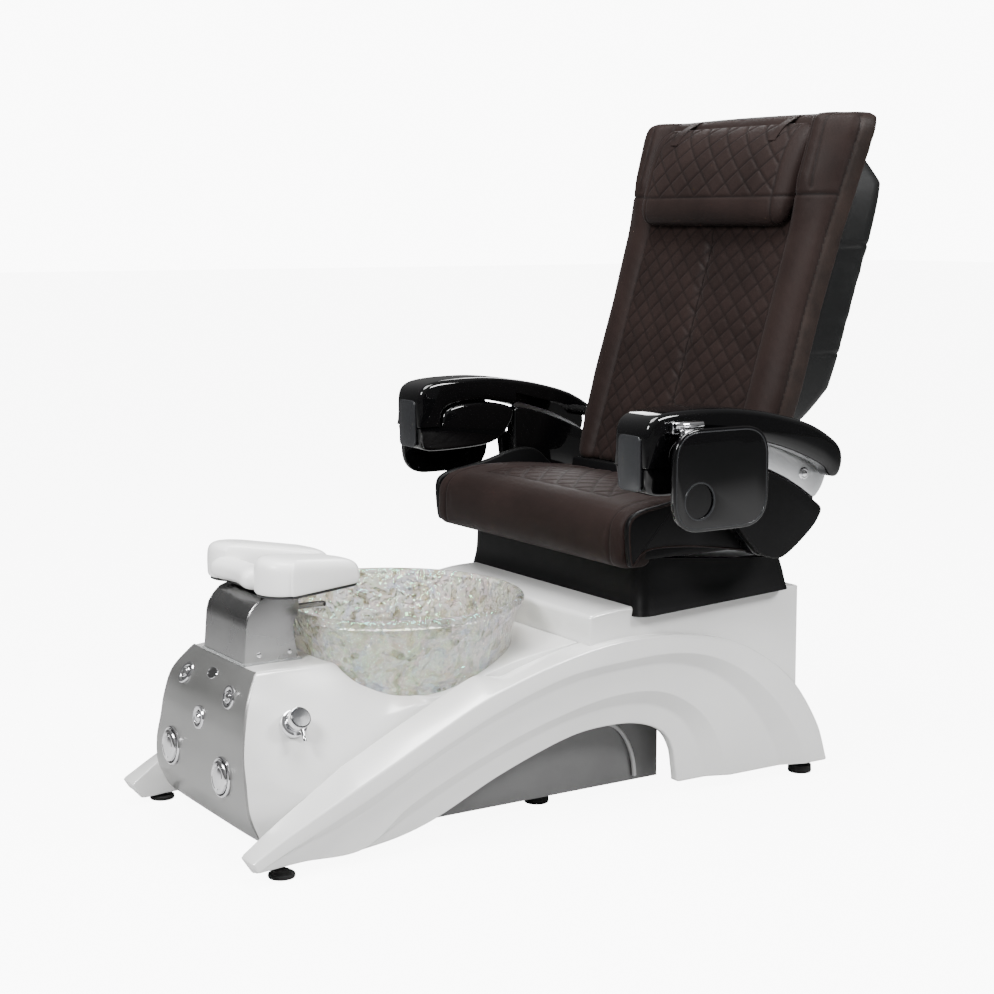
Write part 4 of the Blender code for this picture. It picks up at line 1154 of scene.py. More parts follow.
@dataclass
class Padding:
    """Turns a closed form into padded, sewn upholstery: cloth under pressure, held at its seams."""
    voxel: float = 0.0065
    pressure: float = 4.0
    travel: float = 0.009
    frames: int = 20
    groove: float = 0.0021
    width: float = 0.0032

    def inflate(self, piece: Thing, seam: object, fixed: object) -> None:
        """Remesh the form, puff it out as cloth between its seams, then sink the seams.

        Args:
            piece: the closed form.
            seam: gives each point's distance to the nearest sewn line.
            fixed: gives True for points that rest on something and don't move.
        """
        remesh = piece.modifiers.new("remesh", "REMESH")
        remesh.mode = "VOXEL"
        remesh.voxel_size = self.voxel
        apply_all(piece)
        start = vertices(piece)
        held = piece.vertex_groups.new(name="held")
        hold = np.where(fixed(start), 1.0, np.clip(line_mask(seam(start), .0042) * 1.25, 0, 1))
        held.add(np.flatnonzero(hold >= .85).tolist(), 1.0, "REPLACE")
        self._blow(piece)
        moved = vertices(piece) - start
        length = np.linalg.norm(moved, axis=1, keepdims=True) + 1e-9
        write_vertices(piece, start + moved * np.minimum(1, self.travel / length))
        piece.vertex_groups.clear()
        finer = piece.modifiers.new("finer", "SUBSURF")
        finer.levels = finer.render_levels = 1
        apply_all(piece)
        self.sew(piece, seam, fixed)
        piece.data.shade_smooth()

    def _blow(self, piece: Thing) -> None:
        """Run the cloth and keep its result."""
        cloth = piece.modifiers.new("cloth", "CLOTH")
        settings = cloth.settings
        settings.quality = 5
        settings.mass = .35
        settings.tension_stiffness = settings.compression_stiffness = 14
        settings.shear_stiffness = 6
        settings.bending_stiffness = .6
        settings.use_pressure = True
        settings.uniform_pressure_force = self.pressure
        settings.vertex_group_mass = "held"
        settings.effector_weights.gravity = 0
        cloth.collision_settings.use_collision = False
        for frame_number in range(1, self.frames + 1):
            bpy.context.scene.frame_set(frame_number)
        apply_all(piece)
        bpy.context.scene.frame_set(1)

    def sew(self, piece: Thing, seam: object, fixed: object) -> None:
        """Sink each seam along the surface's normals and mark it in the seam attribute, which the leather
        finishes use to paint shade along the seam's groove.
        """
        points = vertices(piece)
        normals = np.empty(len(points) * 3)
        piece.data.vertex_normals.foreach_get("vector", normals)
        mask = line_mask(seam(points), self.width) * ~fixed(points)
        write_vertices(piece, points - normals.reshape(-1, 3) * (self.groove * mask)[:, None])
        mark = piece.data.attributes.new("seam", "FLOAT", "POINT")
        mark.data.foreach_set("value", line_mask(seam(points), self.width * .55).astype(np.float32))


@dataclass
class Upholstery:
    """Seat cushion, reclining back cushion and strapped pillow."""
    leather: Skin = field(default_factory=LEATHER.build)
    edge: Skin = field(default_factory=EDGE_LEATHER.build)

    def build(self) -> None:
        """Make the three cushions."""
        self.seat()
        self.back()
        self.pillow()

    def seat(self) -> None:
        """The seat: front roll that hangs down, crowned top, sewn quilting in the middle."""
        side = ((.0515, .487), (.034, .490), (.0235, .503), (.0215, .530), (.0225, .562), (.032, .587),
                (.058, .604), (.110, .613), (.170, .615), (.230, .612), (.300, .604), (.405, .590),
                (.4046, .560), (.4046, .5280), (.330, .5277), (.200, .5277), (.106, .5277), (.094, .510),
                (.0895, .489), (.0725, .4872))
        ring = catmull([*side, side[0]], 121)[:-1]
        across = np.concatenate([-.3375 + .016 * (1 - np.cos(np.linspace(0, QUARTER, 6))),
                                 np.linspace(-.30, .30, 61),
                                 .3375 - .016 * (1 - np.cos(np.linspace(QUARTER, 0, 6)))])
        centre = np.array([.19, .560])
        rings = []
        for x in across:
            near = np.clip((abs(x) - .3215) / .016, 0, 1)
            shrink = 1 - .085 * (1 - math.sqrt(1 - near ** 2))
            flat = centre + (ring - centre) * (1, shrink)
            flat[:, 0] += (1 - shrink) * .10 * np.where(flat[:, 0] < .06, 1, 0)
            crown = .006 * (1 - (x / .34) ** 2)
            flat[:, 1] += np.where(flat[:, 1] > .575, crown - .004, 0)
            rings.append(np.column_stack([np.full(len(flat), x), flat]))
        piece = tube("seat_cushion_leather", np.array(rings), self.leather, 60)
        Padding(voxel=.0070, travel=.007).inflate(piece, self.seat_seams,
                                                  lambda p: (p[:, 2] < .5285) & (p[:, 1] > .10))
        finish_piece(piece, "seat", "brown_leather", "seat_cushion")

    @staticmethod
    def seat_seams(p: Array) -> Array:
        """Distance to the seat's seams: one near each end, one behind the roll, and diamonds inside."""
        x, y, z = np.abs(p[:, 0]), p[:, 1], p[:, 2]
        top = z > .575
        ends = np.abs(x - .300)
        far = np.full_like(x, 1.0)
        inner = (x < .215) & top & (y > .085)
        lines = np.where(inner, diamonds(p[:, 0], y, .062, .056), far)
        border = np.where(top & (y > .08), np.abs(x - .218), far)
        cross = np.where(top & (x < .222), np.abs(y - .082), far)
        return np.minimum.reduce([ends, lines, border, cross])

    def back(self) -> None:
        """The back: centre panel between two bolsters that become wings beside the head."""
        levels = np.array(((.614, .296), (.640, .302), (.700, .312), (.800, .318), (.960, .316),
                           (1.110, .322), (1.220, .333), (1.320, .343), (1.352, .335)))
        heights = np.concatenate([np.linspace(.614, .626, 5), np.linspace(.636, 1.330, 96),
                                  np.linspace(1.338, 1.352, 6)])
        rings = []
        for z in heights:
            half = float(np.interp(z, levels[:, 0], levels[:, 1]))
            ends = max(0.0, (.626 - z) / .012, (z - 1.338) / .014)
            shrink = .018 * (1 - math.sqrt(max(0.0, 1 - ends ** 2)))
            half -= shrink
            u = np.linspace(-1, 1, 97)
            x = u * (half - .012)
            swell = np.clip((np.abs(x) - BOLSTER_X) / (half - .012 - BOLSTER_X), 0, 1)
            wing = np.clip((z - 1.12) / .10, 0, 1)
            bolster = (.013 + .026 * wing) * np.sin(math.pi * np.clip(swell, 0, 1) ** .8)
            crown = .008 * (1 - np.clip(np.abs(x) / BOLSTER_X, 0, 1) ** 2)
            groove = .008 * np.exp(-(x / .012) ** 2) * float(z < 1.10)
            front = lean(z) - bolster - crown + groove + shrink
            side = np.array(((half - .004, .006), (half, .020), (half + .0005, .040), (half, .060),
                             (half - .006, .070)))
            rear_y = lean(z) + .0716 - shrink
            right = np.column_stack([side[:, 0], lean(z) + side[:, 1]])
            rear = np.column_stack([np.linspace(half - .014, -half + .014, 41), np.full(41, rear_y)])
            left = right[::-1] * (-1, 1)
            flat = np.vstack([np.column_stack([x, front]), right, rear, left])
            rings.append(np.column_stack([flat, np.full(len(flat), z)]))
        piece = tube("back_cushion_leather", np.array(rings), self.leather, 60)
        Padding(voxel=.0085, travel=.008).inflate(piece, self.back_seams,
                                                  lambda p: p[:, 1] > lean(p[:, 2]) + .064)
        self.tint_edges(piece)
        finish_piece(piece, "back", "brown_leather", "back_cushion")

    @staticmethod
    def back_seams(p: Array) -> Array:
        """Distance to the back's seams: bolster lines, centre groove, diamonds, wing lines, gusset."""
        x, z = np.abs(p[:, 0]), p[:, 2]
        depth = p[:, 1] - lean(z)
        far = np.full_like(x, 1.0)
        face = depth < .020
        bolster = np.where(face, np.abs(x - BOLSTER_X), far)
        middle = np.where(face & (z < 1.12), x, far)
        lines = np.where(face & (x < .226) & (z < 1.13), diamonds(p[:, 0], z, .0510, .0450), far)
        wing = np.where(face & (x > .232), np.abs(z - 1.190), far)
        ribs = np.where(face & (z > 1.20), np.minimum(np.abs(x - .262), np.abs(x - .292)), far)
        gusset = np.where(~face | (x > .30), np.abs(depth - .0200), far)
        return np.minimum.reduce([bolster, middle, lines, wing, ribs, gusset])

    def tint_edges(self, piece: Thing) -> None:
        """Give the gusset round the back's sides its own leather."""
        piece.data.materials.append(self.edge)
        for face in piece.data.polygons:
            y, z = face.center.y, face.center.z
            if abs(face.normal.x) > .70 and y - float(lean(z)) > .021:
                face.material_index = 1

    def pillow(self) -> None:
        """The head pillow: quilted upper part, plain lower band, thin straps over the top."""
        levels = np.array(((1.128, .205, .020), (1.136, .228, .042), (1.160, .240, .056), (1.200, .244, .060),
                           (1.260, .248, .058), (1.300, .248, .048), (1.322, .240, .034),
                           (1.334, .224, .018)))
        smooth = catmull(levels, 60)
        rings = []
        for z, half, stand in smooth:
            u = np.linspace(0, math.pi, 61)
            x = -half * np.sign(np.cos(u)) * np.abs(np.cos(u)) ** .55
            front = lean(z) - .0100 - (stand - .0100) * np.abs(np.sin(u)) ** .55
            rear_x = np.linspace(half * .98, -half * .98, 41)
            rear = np.full(41, float(lean(z)) - .0098)
            rings.append(np.column_stack([np.concatenate([x, rear_x]), np.concatenate([front, rear]),
                                          np.full(102, z)]))
        piece = tube("pillow_leather", np.array(rings), self.leather, 60)
        Padding(voxel=.0060, travel=.006).inflate(piece, self.pillow_seams,
                                                  lambda p: p[:, 1] > lean(p[:, 2]) - .014)
        finish_piece(piece, "back", "brown_leather", "head_pillow")
        for side, sign in SIDES:
            line = np.array(((1.300, -.047), (1.326, -.032), (1.342, -.010), (1.3515, .010), (1.3515, .035)))
            path = catmull([(lean(z) + off, z) for z, off in line], 24)
            rings = []
            for y, z in path:
                low, high = side_span(sign, .150, .172)
                rings.append(np.array(((low, y, z - .0012), (high, y, z - .0012), (high, y, z + .0004),
                                       (low, y, z + .0004))))
            finish_piece(tube(f"pillow_strap_{side}", np.array(rings), self.leather, 40), "back",
                         "brown_leather")

    @staticmethod
    def pillow_seams(p: Array) -> Array:
        """Distance to the pillow's seams: the band seam, diamonds above it, and the piped end lines."""
        x, z = np.abs(p[:, 0]), p[:, 2]
        front = p[:, 1] < lean(z) - .020
        far = np.full_like(x, 1.0)
        band = np.where(front, np.abs(z - 1.187), far)
        lines = np.where(front & (z > 1.19) & (x < .205), diamonds(p[:, 0], z - .02, .062, .052), far)
        ends = np.where(front, np.abs(x - .208), far)
        return np.minimum.reduce([band, lines, ends])


@dataclass
class FootRest:
    """Two moulded pads that splay outward, on a dark carrier, with a waisted saddle in front."""
    toe: tuple[float, float] = (.103, -.563)
    heel: tuple[float, float] = (.060, -.436)
    half: float = .052

    def outline(self, sign: float) -> Array:
        """A pad from above: two half circles at the toe and heel, joined by straight sides."""
        toe, heel = (np.array(end) * (sign, 1) for end in (self.toe, self.heel))
        ahead = (toe - heel) / np.linalg.norm(toe - heel)
        turn = math.atan2(ahead[1], ahead[0])
        angles = np.linspace(-QUARTER, QUARTER, 48)
        front = toe + self.half * np.column_stack([np.cos(turn + angles), np.sin(turn + angles)])
        rear = heel + self.half * .92 * np.column_stack([np.cos(turn + math.pi + angles),
                                                         np.sin(turn + math.pi + angles)])
        return catmull(np.vstack([front, rear, front[:1]])[::4], 145)[:-1]

    def build(self) -> None:
        """Make the pads, the saddle and the carrier."""
        skin = PAD.build()
        for side, sign in SIDES:
            outline = self.outline(sign)
            centre = outline.mean(axis=0)
            rings = []
            for z, grow in catmull(((.4700, .900), (.4704, .955), (.4725, .985), (.480, 1.0), (.495, 1.0),
                                    (.509, .980), (.518, .925), (.5235, .820), (.5265, .640), (.5275, .380),
                                    (.5278, .120)), 44):
                flat = centre + (outline - centre) * grow
                rise = np.clip((z - .478) / .020, 0, 1)
                tilt = -.015 * (flat[:, 1] + .500) / .110 * rise
                rings.append(np.column_stack([flat, z + tilt]))
            pad = tube(f"heel_pad_{side}", np.array(rings), skin, 60)
            finish_piece(pad, "footrest", "white_pad", f"foot_pad_{side}")
            rings = [np.column_stack([centre + (outline - centre) * .955 * s, np.full(144, z)])
                     for s, z in ((.985, .4650), (1.0, .4658), (1.0, .4692), (.985, .4697))]
            finish_piece(tube(f"heel_pad_base_{side}", np.array(rings), SATIN.build(), 40), "footrest",
                         "satin_black")
        self.saddle(skin)
        bridge = ((-.590, .4634), (-.590, .4680), (-.445, .4680), (-.445, .4634))
        finish_piece(plate("heel_pad_bridge", bridge, -.070, .070, SATIN.build(), .001, .001), "footrest",
                     "satin_black", "footrest_plate")

    def saddle(self, skin: Skin) -> None:
        """The cross piece in front of the pads: two round noses with a waist between them."""
        around = full_turn(56)
        rings = []
        for x in .084 * np.sin(np.linspace(-QUARTER, QUARTER, 61)):
            share = abs(x) / .084
            round_off = math.sqrt(max(1e-4, 1 - share ** 6))
            thick = (.0200 + .0050 * share ** 2) * round_off
            deep = (.0250 + .0090 * share ** 2) * round_off
            middle_y = -.606 + .012 * (1 - share ** 2)
            swell = np.sign(np.sin(around)) * np.abs(np.sin(around)) ** .85
            rings.append(np.column_stack([np.full(56, x), middle_y + deep * np.cos(around),
                                          .4930 + thick * swell]))
        piece = tube("heel_saddle", np.array(rings), skin, 60)
        finish_piece(piece, "footrest", "white_pad", "foot_saddle")


# ---- seat surround, arms, back shell ---------------------------------------------
@dataclass
class SeatUnit:
    """Skirt on the base, side covers, silver brackets with bolts, and the round-backed covers."""

    def build(self) -> None:
        """Make every piece round the seat."""
        self.skirt()
        for side, sign in SIDES:
            self.cover(side, sign)
            self.bracket(side, sign)
        tuck = ((.345, .5870), (.350, .6165), (.392, .6165), (.392, .5870))
        finish_piece(plate("seat_rear_tuck", tuck, -.292, .292, SKIRT.build(), .002, .004), "seat",
                     "satin_black")

    def skirt(self) -> None:
        """The black skirt: flared lower edge that dips at the front corners, thin walls."""
        rows = []
        levels = ((.385, .4045, .318, .0855, .462), (.402, .419, .3135, .0880, .4600),
                  (.430, .440, .308, .0920, .4580), (.470, .455, .3050, .0932, .4545),
                  (.500, .466, .303, .0940, .452))
        for low_front, low_rear, half, front, rear in catmull(levels, 26):
            corners = np.array(((-half, front), (0, front - .0006), (half, front), (half, (front + rear) / 2),
                                (half, rear), (-half, rear), (-half, (front + rear) / 2)))
            height = np.interp(corners[:, 1], (front, rear), (low_front, low_rear))
            rows.append(np.column_stack([corners, height]))
        corner = np.array([.034, .2, .034, .2, .020, .020, .2])
        outer = soften(np.array(rows), corner, 7)
        inset = np.zeros_like(outer)
        for k, ring in enumerate(outer):
            inset[k, :, :2] = ring[:, :2] + inset_direction(ring[:, :2]) * .005
            inset[k, :, 2] = ring[:, 2]
        lip = (outer[-1] + inset[-1]) / 2 + (0, 0, .0012)
        rings = np.concatenate([outer, lip[None], inset[::-1]])
        finish_piece(tube("seat_skirt", rings, SKIRT.build(), 50, closed=True), "base", "satin_black",
                     "skirt")

    def cover(self, side: str, sign: float) -> None:
        """The slim side panel beside the seat cushion, waved along its lower edge."""
        outline = ((.0265, .584), (.0285, .530), (.0345, .4905), (.0480, .500), (.0645, .520), (.100, .524),
                   (.153, .522), (.230, .513), (.296, .502), (.344, .492), (.390, .519), (.392, .560),
                   (.330, .592), (.285, .638), (.225, .638), (.160, .617), (.100, .606), (.058, .600))
        low, high = side_span(sign, .3397, .3543)
        piece = plate(f"seat_side_panel_{side}", outline, low, high, SKIRT.build(), .0045, .03, steps=8)
        finish_piece(piece, "seat", "satin_black", f"seat_side_{side}")
        filler = ((.058, .5030), (.058, .5290), (.400, .5290), (.400, .5030))
        low, high = side_span(sign, .2700, .3380)
        finish_piece(plate(f"seat_side_filler_{side}", filler, low, high, SKIRT.build(), .0020, .003),
                     "seat", "satin_black")
        piping = soften(np.insert(np.array(outline), 0, 0, axis=1)[None], .03, 8)[0]
        around = full_turn(8)
        inward = np.insert(inset_direction(piping[:, 1:]), 0, 0, axis=1)
        bead = .0016
        rings = (piping[:, None] + (sign * .3545, 0, 0)
                 + inward[:, None] * (.0035 + bead * np.cos(around))[None, :, None]
                 + np.array([1.0, 0, 0]) * (bead * np.sin(around))[None, :, None])
        finish_piece(tube(f"seat_side_piping_{side}", rings, LEATHER.build(), 60, closed=True), "seat",
                     "satin_black")

    def bracket(self, side: str, sign: float) -> None:
        """The silver strip with its bolt, and the dark round-backed cover under it."""
        strip = ((.262, .7360), (.285, .7320), (.330, .7190), (.370, .7050), (.425, .6800), (.459, .6560),
                 (.463, .6460), (.452, .622), (.434, .602), (.400, .6250), (.360, .6480), (.315, .6680),
                 (.262, .6760))
        low, high = side_span(sign, .4002, .4118)
        finish_piece(plate(f"silver_strip_{side}", strip, low, high, BRIGHT_STEEL.build(), .0022, .010,
                           steps=7),
                     "seat", "stainless", f"arm_bracket_{side}")
        head = ((.0115, -.0004), (.0116, .0016), (.0105, .0028), (.0085, .0032), (.0080, .0022),
                (.0066, .0022), (.0060, .0048), (.0035, .0058), (.0006, .0060))
        finish_piece(turned(f"pivot_bolt_{side}", head, (sign * .4116, *ARM_PIVOT), (sign, 0, 0),
                            CHROME.build(), 36),
                     "seat", "stainless")
        cover = ((.225, .6700), (.312, .6660), (.357, .6460), (.397, .6225), (.431, .5985), (.446, .588),
                 (.450, .578), (.437, .556), (.417, .537), (.394, .519), (.368, .501), (.344, .490),
                 (.300, .500), (.240, .560))
        low, high = side_span(sign, .3962, .4188)
        finish_piece(plate(f"round_back_cover_{side}", cover, low, high, SKIRT.build(), .0040, .022, steps=7),
                     "seat", "satin_black", f"recline_cover_{side}")
        inner = ((.240, .600), (.240, .727), (.262, .7250), (.285, .7195), (.330, .7065), (.370, .6915),
                 (.425, .6675), (.459, .6500), (.452, .622), (.446, .588), (.417, .537), (.394, .519),
                 (.344, .490), (.300, .500), (.250, .560))
        low, high = side_span(sign, .3620, .3958)
        finish_piece(plate(f"inner_fairing_{side}", inner, low, high, GLOSS.build(), .0050, .012, steps=6),
                     "seat", "satin_black")


@dataclass
class ArmRest:
    """One arm: gloss cap that sweeps down to the pivot, gloss body, smoked front, side tray."""
    side: str
    sign: float
    cap: tuple = ((-.0080, .694), (-.0095, .755), (-.002, .778), (.020, .791), (.070, .7965), (.169, .798),
                  (.273, .785), (.377, .759), (.425, .735), (.463, .708), (.469, .676), (.457, .647),
                  (.437, .6490), (.425, .6700), (.370, .6945), (.330, .7095), (.285, .7225), (.255, .7300),
                  (.169, .7480), (.100, .7460), (.062, .738), (.048, .720), (.045, .694))
    body: tuple = ((-.0060, .6930), (-.0050, .655), (.004, .645), (.030, .640), (.160, .6450), (.205, .6600),
                   (.236, .7000), (.238, .7300), (.169, .7440), (.100, .7420), (.066, .734), (.0525, .718),
                   (.0495, .6930))

    def build(self) -> None:
        """Make the cap, the body, the front plate, the hinge and the tray."""
        low, high = side_span(self.sign, .356, .457)
        corner = np.full(len(self.cap), .05)
        corner[[0, -1]] = .002
        cap = plate(f"arm_cap_gloss_{self.side}", self.cap, low, high, GLOSS.build(), .0110, corner, steps=7)
        y, z = ARM_PIVOT
        angles = [math.pi * (i / 24 - .45) for i in range(1, 24)]
        sweep = [(.240, .60), (.470, .57)] + [(y + .072 * math.cos(a),
                                               z + .072 * math.sin(a)) for a in angles]
        sweep += [(.380, .7250), (.240, .7600)]
        inner = side_span(self.sign, .340, .4225)
        room = tube("sweep_room", np.array([[(x, a, b) for a, b in sweep] for x in inner]), GLOSS.build())
        carve(cap, room)
        finish_piece(cap, f"arm_{self.side}", "gloss_black", f"arm_cap_{self.side}")
        corner = np.full(len(self.body), .05)
        corner[[0, -1]] = .002
        low, high = low + .003, high - .003
        lower = plate(f"arm_lower_{self.side}", self.body, low, high, GLOSS.build(), .0080, corner, steps=7)
        finish_piece(lower, f"arm_{self.side}", "satin_black", f"arm_body_{self.side}")
        self.front(low, high)
        self.hinge()
        self.tray()

    def front(self, low: float, high: float) -> None:
        """The smoked plate on the arm's nose."""
        corner = .014
        outline = ((low + .014, .650), (low + .014, .752), (high - .014, .752), (high - .014, .650))
        nose = plate(f"arm_nose_{self.side}", outline, -.0118, -.0064, CAP_GREY.build(), .0015, corner, 1, 8)
        finish_piece(nose, f"arm_{self.side}", "gloss_black")

    def hinge(self) -> None:
        """The bright hinge leaf on the arm's side and its pin."""
        low, high = side_span(self.sign, .4575, .4690)
        leaf = ((.040, .7562), (.040, .7776), (.104, .7776), (.104, .7562))
        finish_piece(plate(f"tray_hinge_leaf_{self.side}", leaf, low, high, CHROME.build(), .0018, .004),
                     f"arm_{self.side}", "chrome", f"tray_hinge_{self.side}")
        pin = ((.0005, 0), (.0052, .0004), (.0060, .0014), (.0060, .0626), (.0052, .0636), (.0005, .064))
        finish_piece(turned(f"tray_hinge_pin_{self.side}", pin, (self.sign * .4745, .040, .772), (0, 1, 0),
                            CHROME.build(), 28, 40), f"arm_{self.side}", "chrome")

    def tray(self) -> None:
        """The hanging tray: gloss board with a bright bead round its rim and a cup recess with its ring."""
        half_y, half_z, y, z = .1105, .0945, .1345, .6715
        square = ((y - half_y, z - half_z), (y + half_y, z - half_z), (y + half_y, z + half_z),
                  (y - half_y, z + half_z))
        low, high = side_span(self.sign, .4842, .4960)
        board = plate(f"tray_board_{self.side}", square, low, high, GLOSS.build(), .0030, .062, steps=12)
        outer = max(low, high, key=abs)
        span = sorted((outer - self.sign * .0035, outer + self.sign * .01))
        well = turned("cup_room", ((.0330, 0), (.0330, span[1] - span[0])), (span[0], .083, .634), (1, 0, 0),
                      GLOSS.build(), 56)
        carve(board, well)
        ears = ((.046, .744), (.098, .744), (.098, .7655), (.046, .7655))
        ear_low, ear_high = side_span(self.sign, .4786, .4856)
        finish_piece(plate(f"tray_ear_{self.side}", ears, ear_low, ear_high, CHROME.build(), .0012, .003),
                     f"tray_{self.side}", "chrome")
        finish_piece(board, f"tray_{self.side}", "gloss_black", f"tray_{self.side}")
        path = soften(np.array([[(0, a, b) for a, b in square]]), .062, 14)[0]
        inward = np.insert(inset_direction(path[:, 1:]), 0, 0, axis=1)
        around = full_turn(10)
        pull, bead = .0060, .0012
        rings = (path[:, None] + (outer, 0, 0)
                 + inward[:, None] * (pull + bead * np.cos(around))[None, :, None]
                 + np.array([1.0, 0, 0]) * (bead * .7 * np.sin(around))[None, :, None])
        finish_piece(tube(f"tray_rim_{self.side}", rings, CAP_GREY.build(), 60, closed=True),
                     f"tray_{self.side}", "gloss_black")
        ring = ((.0322, -.0010), (.0326, .0006), (.0340, .0010), (.0354, .0006), (.0358, -.0006),
                (.0340, -.0012))
        finish_piece(turned(f"tray_cup_ring_{self.side}", ring, (outer, .083, .634), (self.sign, 0, 0),
                            CAP_GREY.build(), 64, 40, loop=True), f"tray_{self.side}", "gloss_black")


@dataclass
class BackShell:
    """The rear of the back: soft black cover over a shell, with two cross seams and a spine strip."""
    depth: float = 0.114

    def build(self) -> None:
        """Make the shell as one soft surface; the wrinkles live between its two seams."""
        levels = np.array(((.700, .235), (.760, .272), (.870, .286), (1.000, .290), (1.100, .292),
                           (1.200, .286), (1.262, .262), (1.290, .220)))
        levels = catmull(levels, 80)
        heights = np.concatenate([np.linspace(.700, .710, 4), np.linspace(.716, 1.274, 110),
                                  np.linspace(1.277, 1.290, 7)])
        rings = []
        for z in heights:
            half = float(np.interp(z, levels[:, 0], levels[:, 1]))
            deep = max(min((z - .60) / .20, 1) * self.depth - max(z - 1.215, 0) * .9, .030)
            ends = max(0.0, (.710 - z) / .010, (z - 1.274) / .016)
            shrink = .014 * (1 - math.sqrt(max(0.0, 1 - ends ** 2)))
            front, rear = lean(z) + .0735, lean(z) + .0733 + deep - shrink
            half -= shrink
            soft = min(.042, deep * .55)
            corners = np.array(((-half, front), (half, front), (half, rear), (0, rear + .0015),
                                (-half, rear)))
            ring = soften(np.insert(corners, 2, z, axis=1)[None], np.array([.002, .002, soft, .3, soft]),
                          22)[0]
            rings.append(ring)
        rings = np.array(rings)
        x, z = rings[..., 0], rings[..., 2]
        behind = rings[..., 1] - lean(z)
        mask = np.clip((behind - .080) / .012, 0, 1)
        seams = line_mask(z - 1.09, .0035) + line_mask(z - .870, .0035) + line_mask(np.abs(x) - .036, .0028)
        between = np.clip((z - .875) / .02, 0, 1) * np.clip((1.085 - z) / .02, 0, 1)
        wrinkle = (np.sin(z * 120 + 2.2 * np.sin(x * 17 + 1.3) + np.sin(x * 31)) *
                   np.sin(x * 23 + z * 31 + .7) * .0009)
        spine = .0022 * np.clip((.034 - np.abs(x)) / .003, 0, 1)
        sink = (.0030 * seams + (.0018 + wrinkle) * between * (np.abs(x) > .037) - spine * .6) * mask
        centre = rings.mean(axis=1, keepdims=True)
        away = rings - centre
        away[..., 2] = 0
        away /= np.linalg.norm(away, axis=2, keepdims=True) + 1e-9
        rings = rings - away * sink[..., None]
        shell = tube("back_rear_cover", rings, SOFT_BLACK.build(), 60)
        finish_piece(shell, "back", "satin_black", "back_shell")


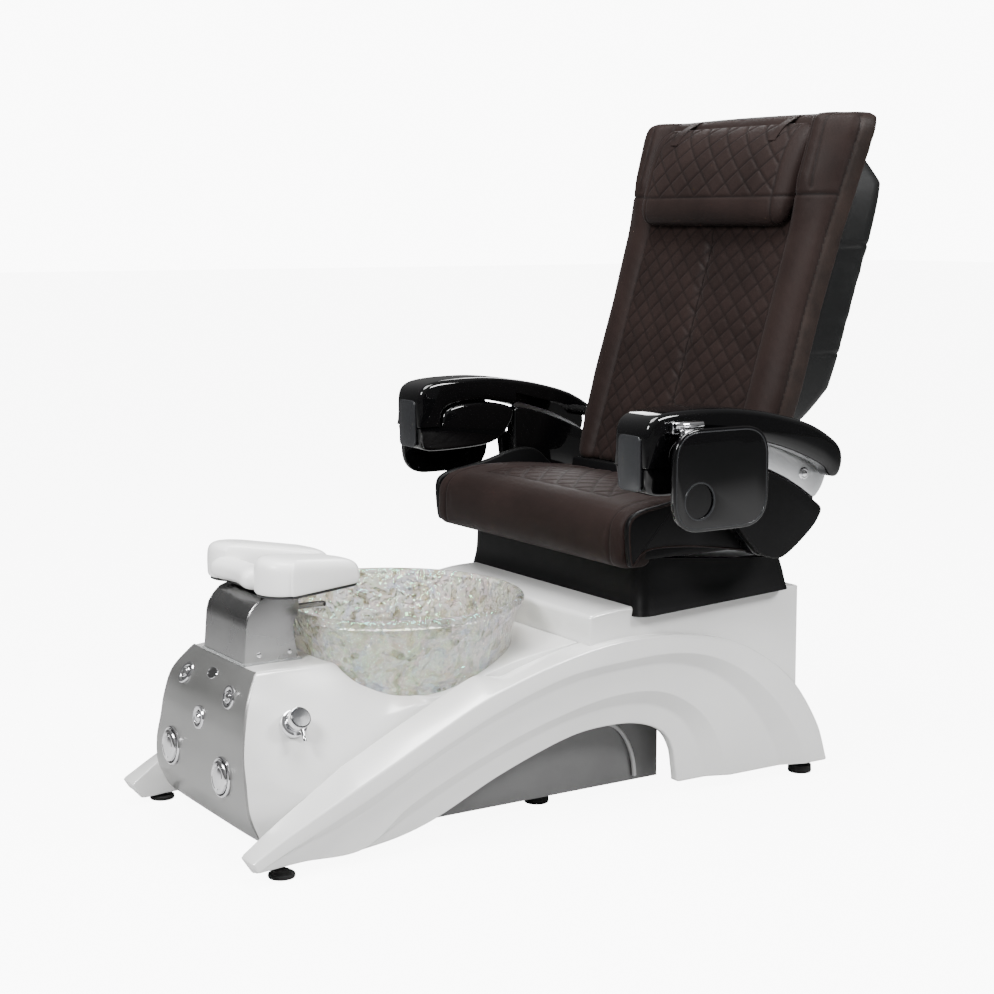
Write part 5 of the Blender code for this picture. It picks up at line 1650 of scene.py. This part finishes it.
# ---- studio ----------------------------------------------------------------------
@dataclass
class Studio:
    """Pale floor, soft lights and the camera."""
    camera_at: tuple[float, float, float] = (3.1282, -2.0253, 1.1323)
    turn: float = 57.5578
    pitch: float = 8.316
    lens: float = 67.814
    ambient: float = 0.30
    below: float = 0.05
    strip: float = 2.6
    backdrop: float = 10.0
    floor_glow: float = 8.5
    lamps: tuple = (("key", (1.2, -3.0, 2.8), 1.1, 200), ("side", (3.2, 1.8, 3.0), 1.0, 190),
                    ("top", (.3, -.3, 3.4), 1.6, 160), ("rear", (-2.6, 2.2, 2.4), 1.2, 40))

    def build(self) -> None:
        """Make everything that isn't the chair."""
        self.floor()
        self.light()
        self.camera()

    def floor(self) -> None:
        """A wide floor that looks white and adds very little light of its own."""
        made = bpy.data.materials.new("white_floor")
        made.use_nodes = True
        tree = made.node_tree
        shader = tree.nodes["Principled BSDF"]
        shader.inputs["Base Color"].default_value = (.50, .50, .50, 1)
        shader.inputs["Roughness"].default_value = .8
        shader.inputs["Specular IOR Level"].default_value = .1
        shader.inputs["Emission Color"].default_value = (1, 1, 1, 1)
        seen = tree.nodes.new("ShaderNodeLightPath").outputs["Is Camera Ray"]
        tree.links.new(ramp_node(tree, seen, 0, 1, .04, self.floor_glow), shader.inputs["Emission Strength"])
        flat = mesh_piece("floor", np.array(((-40, -40, 0), (40, -40, 0), (40, 40, 0), (-40, 40, 0))),
                          [(0, 1, 2, 3)], made)

    def light(self) -> None:
        """Surroundings that look white but light dimly, more from above, with soft lamps all round.

        Rays that have passed through the glass also meet bright upright strips, seven to the turn.
        """
        world = bpy.data.worlds.new("surroundings")
        world.use_nodes = True
        tree = world.node_tree
        sky = tree.nodes["Background"]
        sky.inputs["Color"].default_value = (1, 1, 1, 1)
        path = tree.nodes.new("ShaderNodeLightPath").outputs
        way = tree.nodes.new("ShaderNodeSeparateXYZ")
        tree.links.new(tree.nodes.new("ShaderNodeTexCoord").outputs["Generated"], way.inputs[0])
        even = ramp_node(tree, way.outputs["Z"], -.2, .6, self.below, self.ambient)
        turns = math_node(tree, "MULTIPLY", math_node(tree, "ARCTAN2", way.outputs["Y"], way.outputs["X"]),
                          7.0)
        tall = ramp_node(tree, math_node(tree, "SINE", turns, 0.0), .45, .60, .02, self.strip)
        shine = math_node(tree, "MULTIPLY", tall, ramp_node(tree, way.outputs["Z"], .05, .35, .0, 1.0))
        blend = ramp_node(tree, path["Is Transmission Ray"], 0, 1, 0, 1)
        lit = math_node(tree, "ADD", even, math_node(tree, "MULTIPLY", shine, blend))
        rest = math_node(tree, "MULTIPLY", lit, math_node(tree, "SUBTRACT", 1.0, path["Is Camera Ray"]))
        seen = math_node(tree, "MULTIPLY", path["Is Camera Ray"], self.backdrop)
        tree.links.new(math_node(tree, "ADD", rest, seen), sky.inputs["Strength"])
        bpy.context.scene.world = world
        for name, at, size, power in self.lamps:
            lamp = bpy.data.lights.new(name, "AREA")
            lamp.shape = "SQUARE"
            lamp.size = size
            lamp.energy = power
            holder = bpy.data.objects.new(name, lamp)
            holder.location = at
            aim = np.array([0.0, 0.0, .5]) - np.array(at)
            flat = math.hypot(aim[0], aim[1])
            holder.rotation_euler = (math.atan2(flat, -aim[2]), 0, math.atan2(-aim[0], aim[1]))
            bpy.context.scene.collection.objects.link(holder)

    def camera(self) -> None:
        """The camera that the whole frame was measured with."""
        data = bpy.data.cameras.new("camera")
        data.lens = self.lens
        data.sensor_width = 36.0
        holder = bpy.data.objects.new("camera", data)
        holder.location = self.camera_at
        holder.rotation_euler = (math.radians(90 - self.pitch), 0, math.radians(self.turn))
        bpy.context.scene.collection.objects.link(holder)
        bpy.context.scene.camera = holder


def repaint() -> None:
    """Give every frame node that stays in sight a procedural finish, by what it is."""
    finishes = {"base_liner": LINER, "rear_panel": GELCOAT, "seat_frame": ZINC, "back_frame": ZINC,
                "seat_rail_left": ZINC, "seat_rail_right": ZINC, "faucet_plate": CHROME}
    for piece in [thing for thing in bpy.data.objects if "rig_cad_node" in thing and thing.type == "MESH"]:
        skin = finishes.get(piece.name, SATIN).build()
        piece.data.materials.clear()
        piece.data.materials.append(skin)


def main() -> None:
    """Build the looks round the frame."""
    logging.basicConfig(level=logging.WARNING)
    for make in (variation_group, grain_group, speck_group, brush_group):
        make()
    repaint()
    BaseMoulding().build()
    FootBowl().build()
    Controls().build()
    Column().build()
    FootRest().build()
    SeatUnit().build()
    for side, sign in SIDES:
        ArmRest(side, sign).build()
    Upholstery().build()
    BackShell().build()
    Studio().build()


if __name__ == "__main__":
    main()
